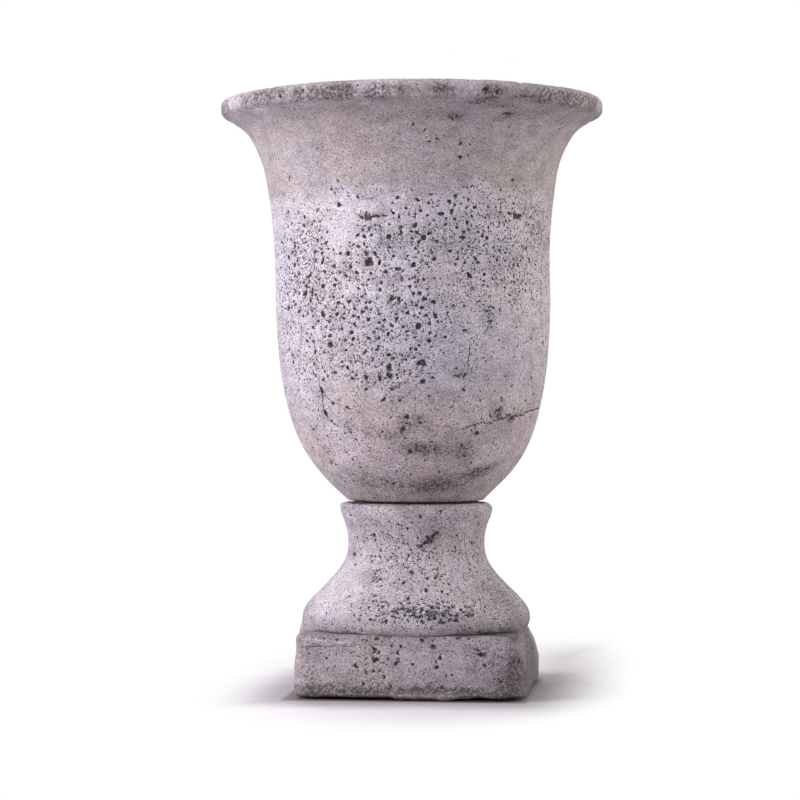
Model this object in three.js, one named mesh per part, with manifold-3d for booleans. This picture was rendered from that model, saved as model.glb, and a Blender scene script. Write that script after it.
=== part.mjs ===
// Cast cement garden vase: a bell-shaped bowl that stands on a waisted pedestal with a square plinth.
// Millimetres, +Z up. The origin is the middle of the plinth's underside.

import * as THREE from 'three';
import { mergeVertices } from 'three/addons/utils/BufferGeometryUtils.js';
import Module from 'manifold-3d';

const wasm = await Module();
wasm.setup();

// Facets and cutting
const roundSegments = 48;
const curveSteps = 10;
const bendSteps = 3;
const cutOverrun = 5;
const weldDistance = 0.001;

// Square plinth
const plinthHalfWidth = 77;
const plinthCornerRadius = 14;
const plinthHeight = 42;
const plinthShoulderHeight = 22;
const plinthArrisDrop = 4.5;
const plinthWeathering = 5;
const plinthFootRound = 4;

// Round swelling on the plinth
const swellingRadius = 77.2;
const swellingHeight = 48.8;
const swellingTuck = 6.2;

// Waist and flare
const waistRadius = 46.2;
const waistHeight = 99.6;
const flareRadius = 66.5;
const flareHeight = 66.3;
const flareAngle = THREE.MathUtils.degToRad(44.4);

// Collar and seat
const collarRadius = 51.8;
const collarRound = 3.5;
const seatHeight = 127;
const seatRadius = 47;

// Socket in the pedestal and hollow core under it
const socketDepth = 45;
const socketClearance = 0.3;
const coreRadius = 52;
const coreHeight = 60;
const coreDraft = 6;

// Steel drain tube
const tubeRadius = 13.5;
const tubeWall = 1.5;
const tubeChamfer = 0.6;
const tubeTopBelowFloor = 6;

// Mortar bedding ring
const beddingThickness = 1.5;
const beddingSetback = 2.8;
const beddingInnerRadius = 22;

// Bell-shaped bowl, measured up from its foot
const bowlHeight = 271.5;
const footRadius = 45.8;
const footAngle = THREE.MathUtils.degToRad(47.5);
const bellyRadius = 93.5;
const bellyHeight = 147.7;
const wall = 14;
const floorThickness = 28;
const floorRound = 12;
const boreClearance = 1.5;

// Flared mouth and lip
const mouthRadius = 129.8;
const mouthAngle = THREE.MathUtils.degToRad(33);
const lipHeight = 12.6;
const lipUndercut = 3.9;
const lipRound = 5.6;
const lipCrown = 2;

// Air holes left in the castings' faces by the pour: the largest, and the smallest as a share of it
const holeRadius = 3;
const holeDepth = 1.8;
const smallestHoleShare = 0.5;
const holeSegments = 6;
const holeRings = 4;

// The main holes that show from the front. Each row has a share of a whole turn from -Y towards +X,
// a share of the way up the face, and a share of the largest hole.
const bowlFrontHoleShares = [
  [-0.03, 0.605, 1],
  [0.025, 0.37, 0.9],
  [0.15, 0.715, 0.85],
  [-0.01, 0.355, 0.75],
  [-0.12, 0.535, 0.7],
  [0.025, 0.455, 0.7],
  [-0.085, 0.415, 0.65],
  [0.085, 0.57, 0.65],
  [-0.09, 0.49, 0.65],
  [0.03, 0.66, 0.65],
  [-0.155, 0.505, 0.6],
  [-0.135, 0.65, 0.6],
  [-0.1, 0.31, 0.6],
  [-0.09, 0.61, 0.55],
  [0.05, 0.71, 0.55],
  [0, 0.585, 0.55],
  [-0.01, 0.66, 0.55],
  [0.02, 0.685, 0.5],
  [0.155, 0.24, 0.5],
  [0.105, 0.205, 0.5],
];
const pedestalFrontHoleShares = [
  [0.035, 0.465, 0.55],
  [0.04, 0.22, 0.55],
  [0.055, 0.13, 0.55],
  [0.025, 0.2, 0.5],
  [-0.16, 0.89, 0.5],
  [0.045, 0.095, 0.45],
  [0.005, 0.175, 0.45],
  [0.005, 0.355, 0.45],
  [0.01, 0.705, 0.45],
];

// Holes strewn over the other sides: how many, between which shares, and the share gained with each one
const bowlSideHoles = 34;
const pedestalSideHoles = 14;
const sideTurnShares = [0.2, 0.8];
const bowlHoleBandShares = [0.3, 0.74];
const pedestalHoleBandShares = [0.06, 0.5];
const pedestalHoleSizeShare = 0.6;
const turnStepShare = 0.755;
const rowStepShare = 0.57;
const sizeStepShare = 0.382;

// Fullness of the curves, as shares of the rise or run that each one spans
const bellyFullnessShare = 0.8;
const footFullnessShare = 0.58;
const neckFullnessShare = 0.89;
const mouthFullnessShare = 0.48;
const collarFullnessShare = 0.25;
const waistTopFullnessShare = 0.54;
const waistBottomFullnessShare = 0.38;
const flareInFullnessShare = 0.94;
const flareOutFullnessShare = 1.4;
const swellingFullnessShare = 0.28;
const crownFullnessShare = 0.8;

// Places that several pieces share
const bowlFootHeight = seatHeight + beddingThickness;
const socketFloorHeight = seatHeight - socketDepth;
const drainRadius = tubeRadius - tubeWall;
const boreRadius = tubeRadius + boreClearance;
const tubeTopHeight = bowlFootHeight + floorThickness - tubeTopBelowFloor;

const point = (radius, height) => new THREE.Vector2(radius, height);

// The point that lies a given length from another one, at an angle above the outward direction
function along(start, angle, length) {
  return point(start.x + length * Math.cos(angle), start.y + length * Math.sin(angle));
}

function bezier(start, startHandle, endHandle, end) {
  return new THREE.CubicBezierCurve(start, startHandle, endHandle, end);
}

function bend(start, corner, end, steps = bendSteps) {
  return new THREE.QuadraticBezierCurve(start, corner, end).getPoints(steps);
}

// A solid of revolution about Z. The profile runs outwards below, up outside and back inwards above.
function revolve(profile) {
  const distinct = profile.filter((p, i) => i === 0 || p.distanceTo(profile[i - 1]) > weldDistance);
  const geometry = new THREE.LatheGeometry(distinct, roundSegments);
  geometry.rotateX(Math.PI / 2);
  return geometry;
}

function solidOf(geometry) {
  geometry.deleteAttribute('normal');
  geometry.deleteAttribute('uv');
  const merged = mergeVertices(geometry);
  const vertProperties = new Float32Array(merged.attributes.position.array);
  const triVerts = new Uint32Array(merged.index.array);
  return new wasm.Manifold(new wasm.Mesh({ numProp: 3, vertProperties, triVerts }));
}

function geometryOf(solid) {
  const mesh = solid.getMesh();
  const geometry = new THREE.BufferGeometry();
  geometry.setAttribute('position', new THREE.BufferAttribute(mesh.vertProperties, 3));
  geometry.setIndex(new THREE.BufferAttribute(mesh.triVerts, 1));
  geometry.computeVertexNormals();
  return geometry;
}

// Rows of hole shares for the sides that the front rows leave out, in no order that shows
function strewnHoleShares(count, bandShares, largestShare) {
  const between = ([from, to], share) => from + (to - from) * (share % 1);
  return Array.from({ length: count }, (_, i) => [
    between(sideTurnShares, i * turnStepShare),
    between(bandShares, i * rowStepShare),
    between([smallestHoleShare, 1], i * sizeStepShare) * largestShare,
  ]);
}

// The body with a rounded pit for each row of shares, in the face that curves turned about Z make
function pitted(body, curves, holeShares) {
  const face = new THREE.CurvePath();
  for (const curve of curves) face.add(curve);
  const pits = holeShares.map(([turnShare, faceShare, sizeShare]) => {
    const place = face.getPoint(faceShare);
    const slope = face.getTangent(faceShare);
    const outwards = new THREE.Vector3(slope.y, 0, -slope.x);
    const pit = new THREE.SphereGeometry(1, holeSegments, holeRings);
    pit.scale(holeRadius * sizeShare, holeDepth * sizeShare, holeRadius * sizeShare);
    pit.applyQuaternion(new THREE.Quaternion().setFromUnitVectors(THREE.Object3D.DEFAULT_UP, outwards));
    pit.translate(place.x, 0, place.y);
    pit.rotateZ(turnShare * 2 * Math.PI - Math.PI / 2);
    return solidOf(pit);
  });
  return pits.reduce((left, pit) => left.subtract(pit), solidOf(body));
}

// Outline of the plinth in plan: a square with round corners, drawn in from the full width by inset
function plinthOutline(inset) {
  const half = plinthHalfWidth - inset;
  const centre = plinthHalfWidth - plinthCornerRadius;
  const radius = half - centre;
  const outline = new THREE.Path();
  outline.absarc(centre, centre, radius, 0, Math.PI / 2);
  outline.absarc(-centre, centre, radius, Math.PI / 2, Math.PI);
  outline.absarc(-centre, -centre, radius, Math.PI, 1.5 * Math.PI);
  outline.absarc(centre, -centre, radius, 1.5 * Math.PI, 2 * Math.PI);
  return outline.getPoints(bendSteps);
}

// A closed solid through a stack of outlines, each at its own height, the lowest first
function loft(layers) {
  const count = layers[0].outline.length;
  const positions = [];
  for (const { outline, height } of layers) {
    for (const p of outline) positions.push(p.x, p.y, height);
  }
  const bottomCentre = layers.length * count;
  const topCentre = bottomCentre + 1;
  positions.push(0, 0, layers[0].height);
  positions.push(0, 0, layers.at(-1).height);
  const indices = [];
  for (let i = 0; i < count; i++) {
    const next = (i + 1) % count;
    for (let layer = 0; layer < layers.length - 1; layer++) {
      const low = layer * count;
      const high = low + count;
      indices.push(low + i, low + next, high + next);
      indices.push(low + i, high + next, high + i);
    }
    const top = (layers.length - 1) * count;
    indices.push(bottomCentre, next, i);
    indices.push(topCentre, top + i, top + next);
  }
  const geometry = new THREE.BufferGeometry();
  geometry.setAttribute('position', new THREE.Float32BufferAttribute(positions, 3));
  geometry.setIndex(indices);
  return geometry;
}

// The plinth: upright below, and weathered back towards its top edge
function plinthGeometry() {
  const foot = bend(point(plinthFootRound, 0), point(0, 0), point(0, plinthFootRound));
  const shoulder = point(0, plinthShoulderHeight);
  const arris = point(plinthWeathering, plinthHeight);
  const crownCorner = point(plinthWeathering * (1 - crownFullnessShare), plinthHeight - plinthArrisDrop);
  const crown = bend(shoulder, crownCorner, arris, curveSteps);
  const layers = [...foot, ...crown].map((p) => ({ outline: plinthOutline(p.x), height: p.y }));
  return loft(layers);
}

// The round part of the pedestal, from inside the plinth up to the seat
function columnSolid() {
  const rootHeight = plinthHeight / 2;
  const tuckRadius = swellingRadius - swellingTuck;
  const tuck = point(tuckRadius, plinthHeight);
  const swelling = point(swellingRadius, swellingHeight);
  const flare = point(flareRadius, flareHeight);
  const waist = point(waistRadius, waistHeight);
  const collar = point(collarRadius, seatHeight - collarRound);

  const swellingRise = flareHeight - swellingHeight;
  const flareRun = flareRadius - waistRadius;
  const swellingRun = swellingRadius - flareRadius;
  const waistRise = waistHeight - flareHeight;
  const collarRise = collar.y - waistHeight;

  const lower = bezier(
    swelling,
    along(swelling, Math.PI / 2, swellingRise * swellingFullnessShare),
    along(flare, -flareAngle, swellingRun * flareOutFullnessShare),
    flare,
  );
  const middle = bezier(
    flare,
    along(flare, Math.PI - flareAngle, flareRun * flareInFullnessShare),
    along(waist, -Math.PI / 2, waistRise * waistBottomFullnessShare),
    waist,
  );
  const upper = bezier(
    waist,
    along(waist, Math.PI / 2, collarRise * waistTopFullnessShare),
    along(collar, -Math.PI / 2, collarRise * collarFullnessShare),
    collar,
  );
  const profile = [
    point(0, rootHeight),
    point(tuckRadius, rootHeight),
    ...bend(tuck, point(swellingRadius, plinthHeight), swelling),
    ...lower.getPoints(curveSteps),
    ...middle.getPoints(curveSteps),
    ...upper.getPoints(curveSteps),
    ...bend(collar, point(collarRadius, seatHeight), point(seatRadius, seatHeight)),
    point(0, seatHeight),
  ];
  const sideHoles = strewnHoleShares(pedestalSideHoles, pedestalHoleBandShares, pedestalHoleSizeShare);
  return pitted(revolve(profile), [lower, middle], [...pedestalFrontHoleShares, ...sideHoles]);
}

// What is open inside the pedestal: the hollow core, the drain hole above it and the tube's socket
function pedestalVoidGeometry() {
  const socketRadius = tubeRadius + socketClearance;
  const coreSide = point(coreRadius - coreDraft, coreHeight / 2);
  const coreTop = point(drainRadius, coreHeight);
  const profile = [
    point(0, -cutOverrun),
    point(coreRadius, -cutOverrun),
    point(coreRadius, 0),
    ...bend(coreSide, point(coreSide.x, coreHeight), coreTop, curveSteps),
    point(drainRadius, socketFloorHeight),
    point(socketRadius, socketFloorHeight),
    point(socketRadius, seatHeight + cutOverrun),
    point(0, seatHeight + cutOverrun),
  ];
  return revolve(profile);
}

function pedestalGeometry() {
  const body = solidOf(plinthGeometry()).add(columnSolid());
  return geometryOf(body.subtract(solidOf(pedestalVoidGeometry())));
}

function beddingGeometry() {
  const outerRadius = footRadius - beddingSetback;
  return revolve([
    point(beddingInnerRadius, 0),
    point(outerRadius, 0),
    point(outerRadius, beddingThickness),
    point(beddingInnerRadius, beddingThickness),
    point(beddingInnerRadius, 0),
  ]);
}

function tubeGeometry() {
  const length = tubeTopHeight - socketFloorHeight;
  const innerRadius = tubeRadius - tubeWall;
  return revolve([
    point(innerRadius, 0),
    point(tubeRadius, 0),
    point(tubeRadius, length - tubeChamfer),
    point(tubeRadius - tubeChamfer, length),
    point(innerRadius, length),
    point(innerRadius, 0),
  ]);
}

// Points of a wall's inner face, one wall thickness inside its outer curve
function innerFace(curve, steps = curveSteps) {
  const points = [];
  for (let i = 0; i <= steps; i++) {
    const outer = curve.getPoint(i / steps);
    const direction = curve.getTangent(i / steps);
    points.push(point(outer.x - direction.y * wall, outer.y + direction.x * wall));
  }
  return points;
}

// The bowl's section: foot, belly, flared mouth and lip outside, then the same curves one wall inside
function bowlGeometry() {
  const foot = point(footRadius, 0);
  const belly = point(bellyRadius, bellyHeight);
  const lipBottom = point(mouthRadius - lipUndercut, bowlHeight - lipHeight);
  const lipOuter = point(mouthRadius, bowlHeight - lipRound);
  const lipTop = point(mouthRadius - lipRound, bowlHeight);

  const bellySpan = bellyRadius - footRadius;
  const neckRise = lipBottom.y - bellyHeight;
  const bellyCurve = bezier(
    foot,
    along(foot, footAngle, bellySpan * footFullnessShare),
    along(belly, -Math.PI / 2, bellyHeight * bellyFullnessShare),
    belly,
  );
  const neckCurve = bezier(
    belly,
    along(belly, Math.PI / 2, neckRise * neckFullnessShare),
    along(lipBottom, Math.PI + mouthAngle, (lipBottom.x - bellyRadius) * mouthFullnessShare),
    lipBottom,
  );

  const insideUp = [...innerFace(bellyCurve), ...innerFace(neckCurve)];
  const insideFace = insideUp.filter(
    (p) => p.y > floorThickness + floorRound / 2 && p.y < bowlHeight - lipCrown,
  );
  const insideTop = insideFace.at(-1);
  const insideBottom = insideFace[0];
  const lipMiddle = point((lipTop.x + insideTop.x) / 2, bowlHeight);
  const floorCorner = point(insideBottom.x - floorRound / 2, floorThickness);
  const floorEdge = point(floorCorner.x - floorRound, floorThickness);

  const profile = [
    point(boreRadius, 0),
    ...bellyCurve.getPoints(curveSteps),
    ...neckCurve.getPoints(curveSteps),
    ...bend(lipOuter, point(mouthRadius, bowlHeight), lipTop),
    ...bend(lipTop, lipMiddle, insideTop),
    ...insideFace.reverse(),
    ...bend(insideBottom, floorCorner, floorEdge),
    point(boreRadius, floorThickness),
    point(boreRadius, 0),
  ];
  const sideHoles = strewnHoleShares(bowlSideHoles, bowlHoleBandShares, 1);
  const holeShares = [...bowlFrontHoleShares, ...sideHoles];
  return geometryOf(pitted(revolve(profile), [bellyCurve, neckCurve], holeShares));
}

// Materials
const bowlCement = new THREE.MeshStandardMaterial({ color: 0xb3a8ae, roughness: 0.92, metalness: 0 });
const pedestalCement = new THREE.MeshStandardMaterial({ color: 0xa99fa5, roughness: 0.92, metalness: 0 });
const mortar = new THREE.MeshStandardMaterial({ color: 0x6e655e, roughness: 0.95, metalness: 0 });
const steel = new THREE.MeshStandardMaterial({ color: 0x8d8f91, roughness: 0.45, metalness: 1 });

function piece(name, geometry, material, height) {
  const mesh = new THREE.Mesh(geometry, material);
  mesh.name = name;
  mesh.position.z = height;
  return mesh;
}

// Assembly
const vase = new THREE.Group();
vase.add(piece('pedestal', pedestalGeometry(), pedestalCement, 0));
vase.add(piece('drain_tube', tubeGeometry(), steel, socketFloorHeight));
vase.add(piece('bedding_ring', beddingGeometry(), mortar, seatHeight));
vase.add(piece('bowl', bowlGeometry(), bowlCement, bowlFootHeight));

export default vase;
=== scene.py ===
"""A cast cement garden vase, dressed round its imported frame.

Both castings are meshes with air pores, hair cracks and chips as real hollows. Lengths are in mm and
are brought to metres when a mesh is made. A side is an angle in degrees round from the photograph's
view, positive to the right. A seed names one run of repeatable random numbers.
"""
import math

import bpy
import numpy as np
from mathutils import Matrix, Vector, kdtree
from mathutils.geometry import delaunay_2d_cdt


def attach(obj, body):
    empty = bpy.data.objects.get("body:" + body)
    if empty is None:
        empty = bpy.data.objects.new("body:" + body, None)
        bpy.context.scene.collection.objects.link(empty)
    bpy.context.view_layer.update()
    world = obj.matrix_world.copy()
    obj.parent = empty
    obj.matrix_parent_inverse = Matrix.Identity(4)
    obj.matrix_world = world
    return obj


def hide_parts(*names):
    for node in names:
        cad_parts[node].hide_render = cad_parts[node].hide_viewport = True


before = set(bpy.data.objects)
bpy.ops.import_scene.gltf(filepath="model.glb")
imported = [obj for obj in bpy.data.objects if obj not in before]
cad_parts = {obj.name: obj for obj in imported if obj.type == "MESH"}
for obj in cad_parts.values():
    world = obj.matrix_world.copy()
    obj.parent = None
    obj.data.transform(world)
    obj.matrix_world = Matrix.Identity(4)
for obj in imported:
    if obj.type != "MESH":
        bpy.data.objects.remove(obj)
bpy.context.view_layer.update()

MM = 0.001
TURN = 2 * math.pi

# The photograph's view: level, so there is no pitch
VIEW_AZIMUTH = math.radians(6.5)
VIEW_DISTANCE = 1780.0
VIEW_HEIGHT = 196.4
PICTURE_SIDE = 800
FOCAL_PIXELS = 2615.0
AXIS_PIXEL = 416.3
SENSOR_WIDTH = 36.0

# Plinth
PLINTH_HALF = 77.0
PLINTH_CORNER = 14.0
PLINTH_HEIGHT = 42.0
PLINTH_SHOULDER = 22.0
PLINTH_ARRIS_DROP = 4.5
PLINTH_WEATHERING = 5.0
PLINTH_FOOT_ROUND = 4.0

# Swelling, flare, waist and collar
SWELLING_RADIUS = 77.2
SWELLING_HEIGHT = 48.8
SWELLING_TUCK = 6.2
FLARE_RADIUS = 66.5
FLARE_HEIGHT = 66.3
FLARE_ANGLE = math.radians(44.4)
WAIST_RADIUS = 46.2
WAIST_HEIGHT = 99.6
COLLAR_RADIUS = 51.8
COLLAR_ROUND = 3.5
SEAT_HEIGHT = 127.0
SEAT_RADIUS = 47.0

# Hollow core, drain and tube
CORE_RADIUS = 52.0
CORE_HEIGHT = 60.0
CORE_DRAFT = 6.0
SOCKET_FLOOR = 82.0
SOCKET_RADIUS = 13.8
TUBE_RADIUS = 13.5
DRAIN_RADIUS = 12.0
TUBE_TOP = 150.5

# Bowl
BOWL_FOOT = 128.5
BOWL_TOP = 400.0
FOOT_RADIUS = 45.8
FOOT_ANGLE = math.radians(47.5)
BELLY_RADIUS = 93.5
BELLY_RISE = 147.7
WALL = 14.0
FLOOR_HEIGHT = 156.5
FLOOR_ROUND = 12.0
BORE_RADIUS = 15.0
MOUTH_RADIUS = 129.8
MOUTH_ANGLE = math.radians(33)
LIP_HEIGHT = 12.6
LIP_UNDERCUT = 3.9
LIP_ROUND = 5.6
LIP_CROWN = 2.0

# Bedding ring
RING_OUTER = 42.6
RING_INNER = 22.0

# How the real castings sit: the bowl leans to the left, and the plinth is off the axis
LEAN = math.tan(math.radians(0.5))
PLINTH_OFFSET = 2.3

# Handles of the profile curves, as shares of the rise or the run that they span
FOOT_PULL, BELLY_PULL, NECK_PULL, MOUTH_PULL = 0.58, 0.8, 0.89, 0.48
SWELLING_PULL, FLARE_LOW_PULL, FLARE_HIGH_PULL = 0.28, 1.4, 0.94
WAIST_LOW_PULL, WAIST_HIGH_PULL, COLLAR_PULL = 0.38, 0.54, 0.25

# The round under the lip: its corner out and up from the neck's end, and the height where it ends
LIP_HEEL_OUT, LIP_HEEL_UP, LIP_HEEL_TOP = 2.2, 0.6, 3.6

# The step between a profile's rows in mm, and the angle at which its way is measured
PROFILE_STEP = 0.25
TYPICAL_ANGLE = math.pi / 8

# The ground of mesh points: its rows lie this share of the gap apart, and the last one this many mm clear
ROW_SHARE = 0.88
FEWEST_IN_ROW = 14
LAST_ROW_GAP = 0.8

# The flat plane that the points are joined in: its overlap at the seam and its margin in radians
SEAM_OVERLAP = 0.3
UV_MARGIN = 0.1
PLANE_SCALE = 100

# Large primes that scramble a lattice cell and a seed into one number
CELL_PRIMES = (73856093, 19349663, 83492791)
SEED_PRIME, MIXING_PRIME, LOW_BITS = 15485863, 1274126177, 0xFFFFFF
CLOUD_SPREAD = 1.4


def srgb(red, green, blue):
    """A linear colour with alpha 1 from 8-bit screen values."""
    linear = []
    for value in (red, green, blue):
        v = value / 255
        linear.append(v / 12.92 if v <= 0.04045 else ((v + 0.055) / 1.055) ** 2.4)
    return (*linear, 1.0)


def lattice(cells, seed):
    """Repeatable random numbers from 0 to 1, one for each cell of a lattice."""
    x, y, z = (cells[:, i].astype(np.int64) * prime for i, prime in enumerate(CELL_PRIMES))
    mixed = x ^ y ^ z ^ (seed * SEED_PRIME)
    mixed = (mixed ^ (mixed >> 13)) * MIXING_PRIME
    mixed = mixed ^ (mixed >> 16)
    return (mixed & LOW_BITS) / LOW_BITS


def noise(points, wavelength, seed):
    """Smooth noise from -1 to 1."""
    scaled = points / wavelength
    base = np.floor(scaled)
    part = scaled - base
    part = part * part * (3 - 2 * part)
    total = np.zeros(len(points))
    for corner in np.ndindex(2, 2, 2):
        weight = np.ones(len(points))
        for axis, high in enumerate(corner):
            weight *= part[:, axis] if high else 1 - part[:, axis]
        total += weight * lattice(base + corner, seed)
    return 2 * total - 1


def cloud(points, wavelength, seed, octaves=3):
    """Several octaves of noise, about -1 to 1."""
    total = np.zeros(len(points))
    for octave in range(octaves):
        total += noise(points, wavelength / 2**octave, seed + octave) / 2**octave
    return total / CLOUD_SPREAD


def ramp(value, low, high):
    """0 at low and 1 at high, with soft ends."""
    t = np.clip((value - low) / (high - low), 0, 1)
    return t * t * (3 - 2 * t)


def between(value, start, full, fading, end):
    """0 up to start, 1 from full to fading and 0 from end on, with soft ends."""
    return ramp(value, start, full) * ramp(-value, -end, -fading)


def hump(value, middle, width):
    """1 at the middle, falling away softly on both sides."""
    return np.exp(-(((value - middle) / width) ** 2))


def interpolated(at, known, table):
    """The rows of a table at these ways, from its rows at the known ways."""
    return np.column_stack([np.interp(at, known, column) for column in table.T])


def run_up(steps):
    """The way covered before and after each step."""
    return np.r_[0, np.cumsum(steps)]


# Profiles


def point(radius, height):
    """A point of a profile."""
    return np.array([radius, height], float)


def along(start, angle, length):
    """The point this far from start, at this angle above level."""
    return start + length * point(math.cos(angle), math.sin(angle))


def bezier(a, b, c, d, steps=60):
    """A curve from a to d, drawn towards b and c."""
    t = np.linspace(0, 1, steps + 1)[:, None]
    return (1 - t) ** 3 * a + 3 * (1 - t) ** 2 * t * b + 3 * (1 - t) * t**2 * c + t**3 * d


def bend(a, corner, b, steps=16):
    """A curve from a to b that rounds the corner."""
    t = np.linspace(0, 1, steps + 1)[:, None]
    return (1 - t) ** 2 * a + 2 * (1 - t) * t * corner + t**2 * b


def inside_of(curve):
    """The curve one wall thickness inside an outer curve that runs upwards."""
    step = np.gradient(curve, axis=0)
    step /= np.linalg.norm(step, axis=1)[:, None]
    return curve + WALL * np.c_[-step[:, 1], step[:, 0]]


def round_profile(*parts):
    """Rows of (radius, height, squareness, inset) for a part that is round in plan."""
    points = np.vstack([np.atleast_2d(p) for p in parts])
    return np.c_[points, np.zeros((len(points), 2))]


def bowl_profile():
    """The bowl's closed profile, and its outer line from the foot to the lip."""
    foot = point(FOOT_RADIUS, BOWL_FOOT)
    belly = point(BELLY_RADIUS, BOWL_FOOT + BELLY_RISE)
    lip_bottom = point(MOUTH_RADIUS - LIP_UNDERCUT, BOWL_TOP - LIP_HEIGHT)
    lip_outer = point(MOUTH_RADIUS, BOWL_TOP - LIP_ROUND)
    lip_top = point(MOUTH_RADIUS - LIP_ROUND, BOWL_TOP)
    neck_rise = lip_bottom[1] - belly[1]
    lower = bezier(
        foot,
        along(foot, FOOT_ANGLE, FOOT_PULL * (BELLY_RADIUS - FOOT_RADIUS)),
        belly - point(0, BELLY_PULL * BELLY_RISE),
        belly,
    )
    upper = bezier(
        belly,
        belly + point(0, NECK_PULL * neck_rise),
        along(lip_bottom, math.pi + MOUTH_ANGLE, MOUTH_PULL * (lip_bottom[0] - BELLY_RADIUS)),
        lip_bottom,
    )
    inner = np.vstack([inside_of(lower), inside_of(upper)])
    low_enough = inner[:, 1] < BOWL_TOP - LIP_CROWN
    inner = inner[(inner[:, 1] > FLOOR_HEIGHT + FLOOR_ROUND / 2) & low_enough]
    inner_top, inner_bottom = inner[-1], inner[0]
    corner = point(inner_bottom[0] - FLOOR_ROUND / 2, FLOOR_HEIGHT)
    middle = (BOWL_FOOT + FLOOR_HEIGHT) / 2
    heel_corner = lip_bottom + point(LIP_HEEL_OUT, LIP_HEEL_UP)
    closed = round_profile(
        point(BORE_RADIUS, middle),
        point(BORE_RADIUS, BOWL_FOOT),
        lower,
        upper,
        bend(lip_bottom, heel_corner, lip_bottom + point(LIP_UNDERCUT, LIP_HEEL_TOP)),
        bend(lip_outer, point(MOUTH_RADIUS, BOWL_TOP), lip_top),
        bend(lip_top, point((lip_top[0] + inner_top[0]) / 2, BOWL_TOP), inner_top),
        inner[::-1],
        bend(inner_bottom, corner, corner - point(FLOOR_ROUND, 0)),
        point(BORE_RADIUS, FLOOR_HEIGHT),
        point(BORE_RADIUS, middle),
    )
    return closed, np.vstack([lower, upper[1:]])


def pedestal_curves():
    """The pedestal's outer line in three curves: swelling to flare, flare to waist, waist to collar."""
    swelling = point(SWELLING_RADIUS, SWELLING_HEIGHT)
    flare = point(FLARE_RADIUS, FLARE_HEIGHT)
    waist = point(WAIST_RADIUS, WAIST_HEIGHT)
    collar = point(COLLAR_RADIUS, SEAT_HEIGHT - COLLAR_ROUND)
    collar_rise = collar[1] - WAIST_HEIGHT
    lower = bezier(
        swelling,
        swelling + point(0, SWELLING_PULL * (FLARE_HEIGHT - SWELLING_HEIGHT)),
        along(flare, -FLARE_ANGLE, FLARE_LOW_PULL * (SWELLING_RADIUS - FLARE_RADIUS)),
        flare,
    )
    middle = bezier(
        flare,
        along(flare, math.pi - FLARE_ANGLE, FLARE_HIGH_PULL * (FLARE_RADIUS - WAIST_RADIUS)),
        waist - point(0, WAIST_LOW_PULL * (WAIST_HEIGHT - FLARE_HEIGHT)),
        waist,
    )
    upper = bezier(
        waist,
        waist + point(0, WAIST_HIGH_PULL * collar_rise),
        collar - point(0, COLLAR_PULL * collar_rise),
        collar,
    )
    return lower, middle, upper


def pedestal_profile():
    """The pedestal's closed profile, and its outer line from the swelling to the waist."""
    lower, middle, upper = pedestal_curves()
    swelling, collar = lower[0], upper[-1]
    tuck = point(SWELLING_RADIUS - SWELLING_TUCK, PLINTH_HEIGHT)
    socket_middle = (SEAT_HEIGHT + SOCKET_FLOOR) / 2
    core_side = point(CORE_RADIUS - CORE_DRAFT, CORE_HEIGHT / 2)
    column = round_profile(
        bend(tuck, point(SWELLING_RADIUS, PLINTH_HEIGHT), swelling),
        lower,
        middle,
        upper,
        bend(collar, point(COLLAR_RADIUS, SEAT_HEIGHT), point(SEAT_RADIUS, SEAT_HEIGHT)),
        point(SOCKET_RADIUS, SEAT_HEIGHT),
        point(SOCKET_RADIUS, socket_middle),
    )
    hollow = round_profile(
        point(SOCKET_RADIUS, socket_middle),
        point(SOCKET_RADIUS, SOCKET_FLOOR),
        point(DRAIN_RADIUS, SOCKET_FLOOR),
        point(DRAIN_RADIUS, CORE_HEIGHT),
        bend(point(DRAIN_RADIUS, CORE_HEIGHT), point(core_side[0], CORE_HEIGHT), core_side),
        point(CORE_RADIUS, 0),
    )
    foot = bend(point(PLINTH_FOOT_ROUND, 0), point(0, 0), point(0, PLINTH_FOOT_ROUND))
    crown = bend(
        point(0, PLINTH_SHOULDER),
        point(0.2 * PLINTH_WEATHERING, PLINTH_HEIGHT - PLINTH_ARRIS_DROP),
        point(PLINTH_WEATHERING, PLINTH_HEIGHT),
    )
    flank = np.vstack([foot, crown])
    plinth = np.c_[np.full(len(flank), tuck[0]), flank[:, 1], np.ones(len(flank)), flank[:, 0]]
    plinth[: len(foot), 0] = CORE_RADIUS
    return np.vstack([hollow, plinth, column]), np.vstack([lower, middle[1:]])


def plinth_outline(angle, inset):
    """How far out the plinth's rounded square lies at each angle."""
    centre = PLINTH_HALF - PLINTH_CORNER
    folded = np.abs((angle + math.pi / 4) % (math.pi / 2) - math.pi / 4)
    half = PLINTH_HALF - inset
    flat = half / np.cos(folded)
    reach = centre * (np.cos(folded) + np.sin(folded))
    root = np.clip(reach**2 - 2 * centre**2 + (half - centre) ** 2, 0, None)
    return np.where(half * np.tan(folded) <= centre, flat, reach + np.sqrt(root))


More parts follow.
